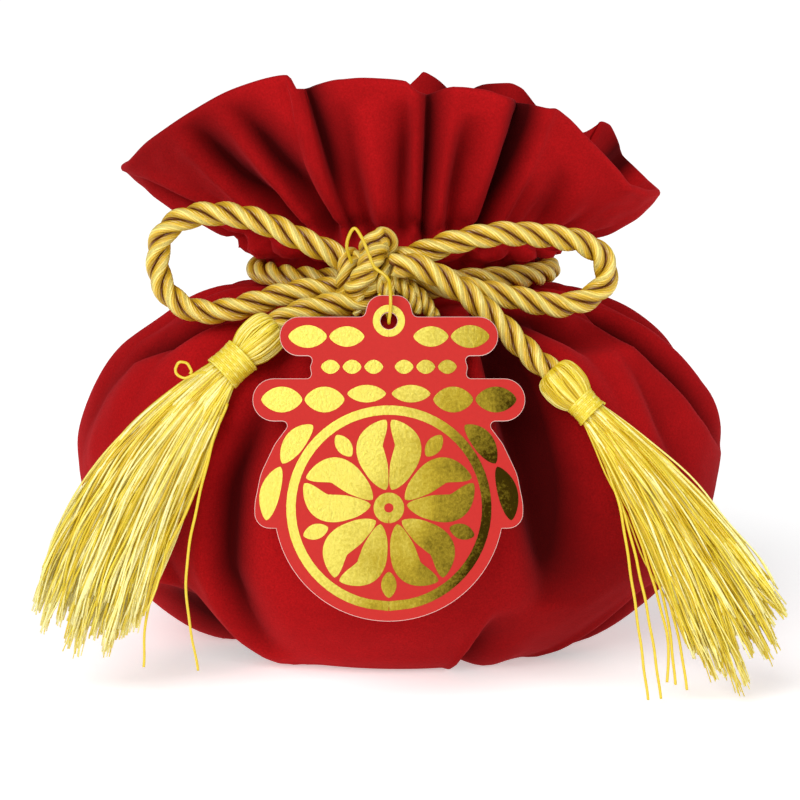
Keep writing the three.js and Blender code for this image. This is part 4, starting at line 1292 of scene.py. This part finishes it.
def stroke(shape, path, half_width, closed=False):
    """A flat stroke of foil along a path on the card: a tapered leaf, or even in a closed ring."""
    fine = smooth_line(np.hstack([path, np.zeros((len(path), 1))]) * MM, 60)[:, :2]
    share = np.linspace(0, 1, 60)
    width = np.ones(60) if closed else np.maximum(np.sin(np.pi * share) ** 0.62, 0.02)
    forward = unit(np.gradient(fine, axis=0))
    sideways = np.stack([-forward[:, 1], forward[:, 0]], 1)
    reach = (half_width * MM * width)[:, None] * sideways
    lift = np.array((FOIL_BOTTOM, FOIL_TOP, FOIL_TOP, FOIL_BOTTOM))
    corners = fine[:, None] + np.array((-1, -1, 1, 1))[:, None] * reach[:, None]
    grid = card_place(corners[..., 0], corners[..., 1], np.broadcast_to(lift, corners.shape[:2]))
    shape.add_grid(grid, wrap=True, caps=True)


def circle(middle, radius):
    turn = np.linspace(0, 2 * np.pi, 24)
    return np.stack([middle[0] + radius * np.sin(turn), middle[1] + radius * np.cos(turn)], 1)


def build_foil(finish):
    """Gold blossom in a ring, with sprays of leaves above and beside it, laid on the card's face."""
    shape = Shape()
    for path, half_width in FOIL_STROKES:
        stroke(shape, np.array(path), half_width)
        stroke(shape, np.array(path) * (-1, 1), half_width)
    for middle, radius, half_width in FOIL_RINGS:
        stroke(shape, circle(middle, radius), half_width, closed=True)
    for petal in range(PETAL_COUNT):
        turn = 2 * np.pi * petal / PETAL_COUNT + np.pi
        aim = np.array((np.sin(turn), np.cos(turn)))
        beside = np.array((aim[1], -aim[0]))
        for hand in (-1, 1):
            path = np.outer(PETAL[:, 0], aim) + hand * np.outer(PETAL[:, 1], beside)
            stroke(shape, BLOSSOM_MIDDLE + path, PETAL_HALF_WIDTH)
        gap = turn + np.pi / PETAL_COUNT
        between = np.array((np.sin(gap), np.cos(gap)))
        stroke(shape, BLOSSOM_MIDDLE + np.outer(LEAF_RADII, between), LEAF_HALF_WIDTH)
    return shape.build("card_foil", finish, smooth=False)


# Stage

def build_floor():
    edge = np.linspace(-FLOOR_REACH, FLOOR_REACH, 9)
    x, y = np.meshgrid(edge, edge, indexing="ij")
    shape = Shape()
    shape.add_grid(np.stack([x, y, np.full_like(x, -FLOOR_DROP)], -1))
    shape.build("stage_floor", stage_material())


def place_camera(scene):
    back = np.array((0.0, -np.cos(CAMERA_ELEVATION), np.sin(CAMERA_ELEVATION)))
    camera = bpy.data.cameras.new("camera")
    camera.sensor_width = SENSOR_WIDTH
    camera.lens = SENSOR_WIDTH * CAMERA_DISTANCE / VIEW_WIDTH
    camera.clip_start = 0.01
    view = bpy.data.objects.new("camera", camera)
    view.location = CAMERA_AIM + CAMERA_DISTANCE * back
    view.rotation_euler = (np.pi / 2 - CAMERA_ELEVATION, 0.0, 0.0)
    scene.collection.objects.link(view)
    scene.camera = view


def aimed_lamp(scene, light, direction):
    """Puts a light in the scene, turned to shine that way."""
    lamp = bpy.data.objects.new(light.name, light)
    lamp.rotation_euler = Vector(direction).to_track_quat("-Z", "Y").to_euler()
    scene.collection.objects.link(lamp)
    return lamp


def place_lights(scene):
    """A broad sun, two soft lights and an even white surround."""
    sun = bpy.data.lights.new("key", "SUN")
    sun.energy = SUN_STRENGTH
    sun.angle = SUN_SPREAD
    aimed_lamp(scene, sun, SUN_DIRECTION)
    for name, place, size, power in SOFT_LIGHTS:
        light = bpy.data.lights.new(name, "AREA")
        light.size = size
        light.energy = power
        aimed_lamp(scene, light, Vector(CAMERA_AIM) - Vector(place)).location = place
    world = bpy.data.worlds.new("studio")
    world.use_nodes = True
    background = world.node_tree.nodes["Background"]
    background.inputs["Color"].default_value = (1.0, 1.0, 1.0, 1.0)
    background.inputs["Strength"].default_value = WORLD_STRENGTH
    scene.world = world
    scene.view_settings.view_transform = "Standard"


# Properties

def size_property(name, text, size):
    return bpy.props.FloatProperty(
        name=name, description=text, default=size, unit="LENGTH", subtype="DISTANCE",
    )


def count_property(name, text, count, least):
    return bpy.props.IntProperty(name=name, description=text, default=count, min=least)


def color_property(name, text, color):
    return bpy.props.FloatVectorProperty(name=name, description=text, default=color, subtype="COLOR")


class BagSettings(bpy.types.PropertyGroup):
    """Sizes and colours of the bag."""

    cloth_thickness: size_property("Cloth thickness", "Thickness of the velvet wall", 1.6 * MM)
    cloth_columns: count_property("Cloth columns", "Points around the pouch", 420, 40)
    cloth_rows: count_property("Cloth rows", "Points from the base to the rim", 130, 20)
    cord_diameter: size_property("Cord diameter", "Diameter of the twisted drawcord", 4.5 * MM)
    cord_pitch: size_property("Cord pitch", "Length of one full turn of a strand", 14.4 * MM)
    thread_count: count_property("Fringe threads", "Threads in each tassel", 820, 20)
    thread_diameter: size_property("Thread diameter", "Diameter of a fringe thread", 0.48 * MM)
    velvet_color: color_property("Velvet", "Colour of the velvet", (0.42, 0.0060, 0.0078))
    cord_color: color_property("Cord", "Colour of the cord", (0.76, 0.48, 0.024))
    fringe_color: color_property("Fringe", "Colour of the tassels", (0.80, 0.65, 0.045))
    card_color: color_property("Card", "Colour of the card", (0.50, 0.022, 0.018))
    foil_color: color_property("Foil", "Colour of the foil", (0.87, 0.74, 0.14))


# Operators and panel

class BAG_OT_cloth(bpy.types.Operator):
    """Builds the gathered velvet pouch"""

    bl_idname = "bag.cloth"
    bl_label = "Velvet pouch"

    def execute(self, context):
        settings = context.scene.bag_settings
        pouch = build_cloth(settings, material("velvet", settings))
        settle(pouch, "velvet", "bag_wall")
        return {"FINISHED"}


class BAG_OT_cords(bpy.types.Operator):
    """Builds the twisted drawcord: neck, bow loops, tails and knot"""

    bl_idname = "bag.cords"
    bl_label = "Drawcord"

    def execute(self, context):
        settings = context.scene.bag_settings
        settle(build_cord("neck_drawcord", neck_line(), settings, (0, 0, 1)), "cord", "neck_cord")
        for name, line in bow_lines().items():
            settle(build_cord(name, line, settings, BOW_REFERENCE), "cord", *BOW_CORDS[name][0])
        settle(build_knot(settings), "cord", "bow_knot")
        return {"FINISHED"}


class BAG_OT_tassels(bpy.types.Operator):
    """Builds both tassels: head, wound band and loose fringe"""

    bl_idname = "bag.tassels"
    bl_label = "Tassels"

    def execute(self, context):
        settings = context.scene.bag_settings
        for number, side in enumerate(TASSELS):
            build_tassel(settings, side, np.random.default_rng(FRINGE_SEED + number))
        return {"FINISHED"}


class BAG_OT_pendant(bpy.types.Operator):
    """Finishes the hanging card with its foil and thread"""

    bl_idname = "bag.pendant"
    bl_label = "Card pendant"

    def execute(self, context):
        settings = context.scene.bag_settings
        settle(build_card(material("card", settings)), "card", "pendant_card")
        shape = Shape()
        round_tubes(shape, smooth_line(THREAD_ROUTE, 160)[None], CARD_THREAD_RADIUS, sides=8, tint=0.1)
        settle(shape.build("card_thread", material("fringe", settings)), "thread", "pendant_thread")
        settle(build_foil(material("foil", settings)), "card")
        return {"FINISHED"}


class BAG_OT_stage(bpy.types.Operator):
    """Builds the pale floor, the soft lights and the camera"""

    bl_idname = "bag.stage"
    bl_label = "Stage"

    def execute(self, context):
        build_floor()
        place_camera(context.scene)
        place_lights(context.scene)
        return {"FINISHED"}


class BAG_PT_panel(bpy.types.Panel):
    """Lists the steps that build the bag"""

    bl_idname = "BAG_PT_panel"
    bl_label = "Velvet bag"
    bl_space_type = "VIEW_3D"
    bl_region_type = "UI"
    bl_category = "Bag"

    def draw(self, context):
        for step in STEPS:
            self.layout.operator(step.bl_idname)


STEPS = (BAG_OT_cloth, BAG_OT_cords, BAG_OT_tassels, BAG_OT_pendant, BAG_OT_stage)
CLASSES = (BagSettings, *STEPS, BAG_PT_panel)


def register():
    for cls in CLASSES:
        bpy.utils.register_class(cls)
    bpy.types.Scene.bag_settings = bpy.props.PointerProperty(type=BagSettings)


def unregister():
    del bpy.types.Scene.bag_settings
    for cls in reversed(CLASSES):
        bpy.utils.unregister_class(cls)


def main():
    register()
    bpy.ops.bag.cloth()
    bpy.ops.bag.cords()
    bpy.ops.bag.tassels()
    bpy.ops.bag.pendant()
    bpy.ops.bag.stage()


if __name__ == "__main__":
    main()
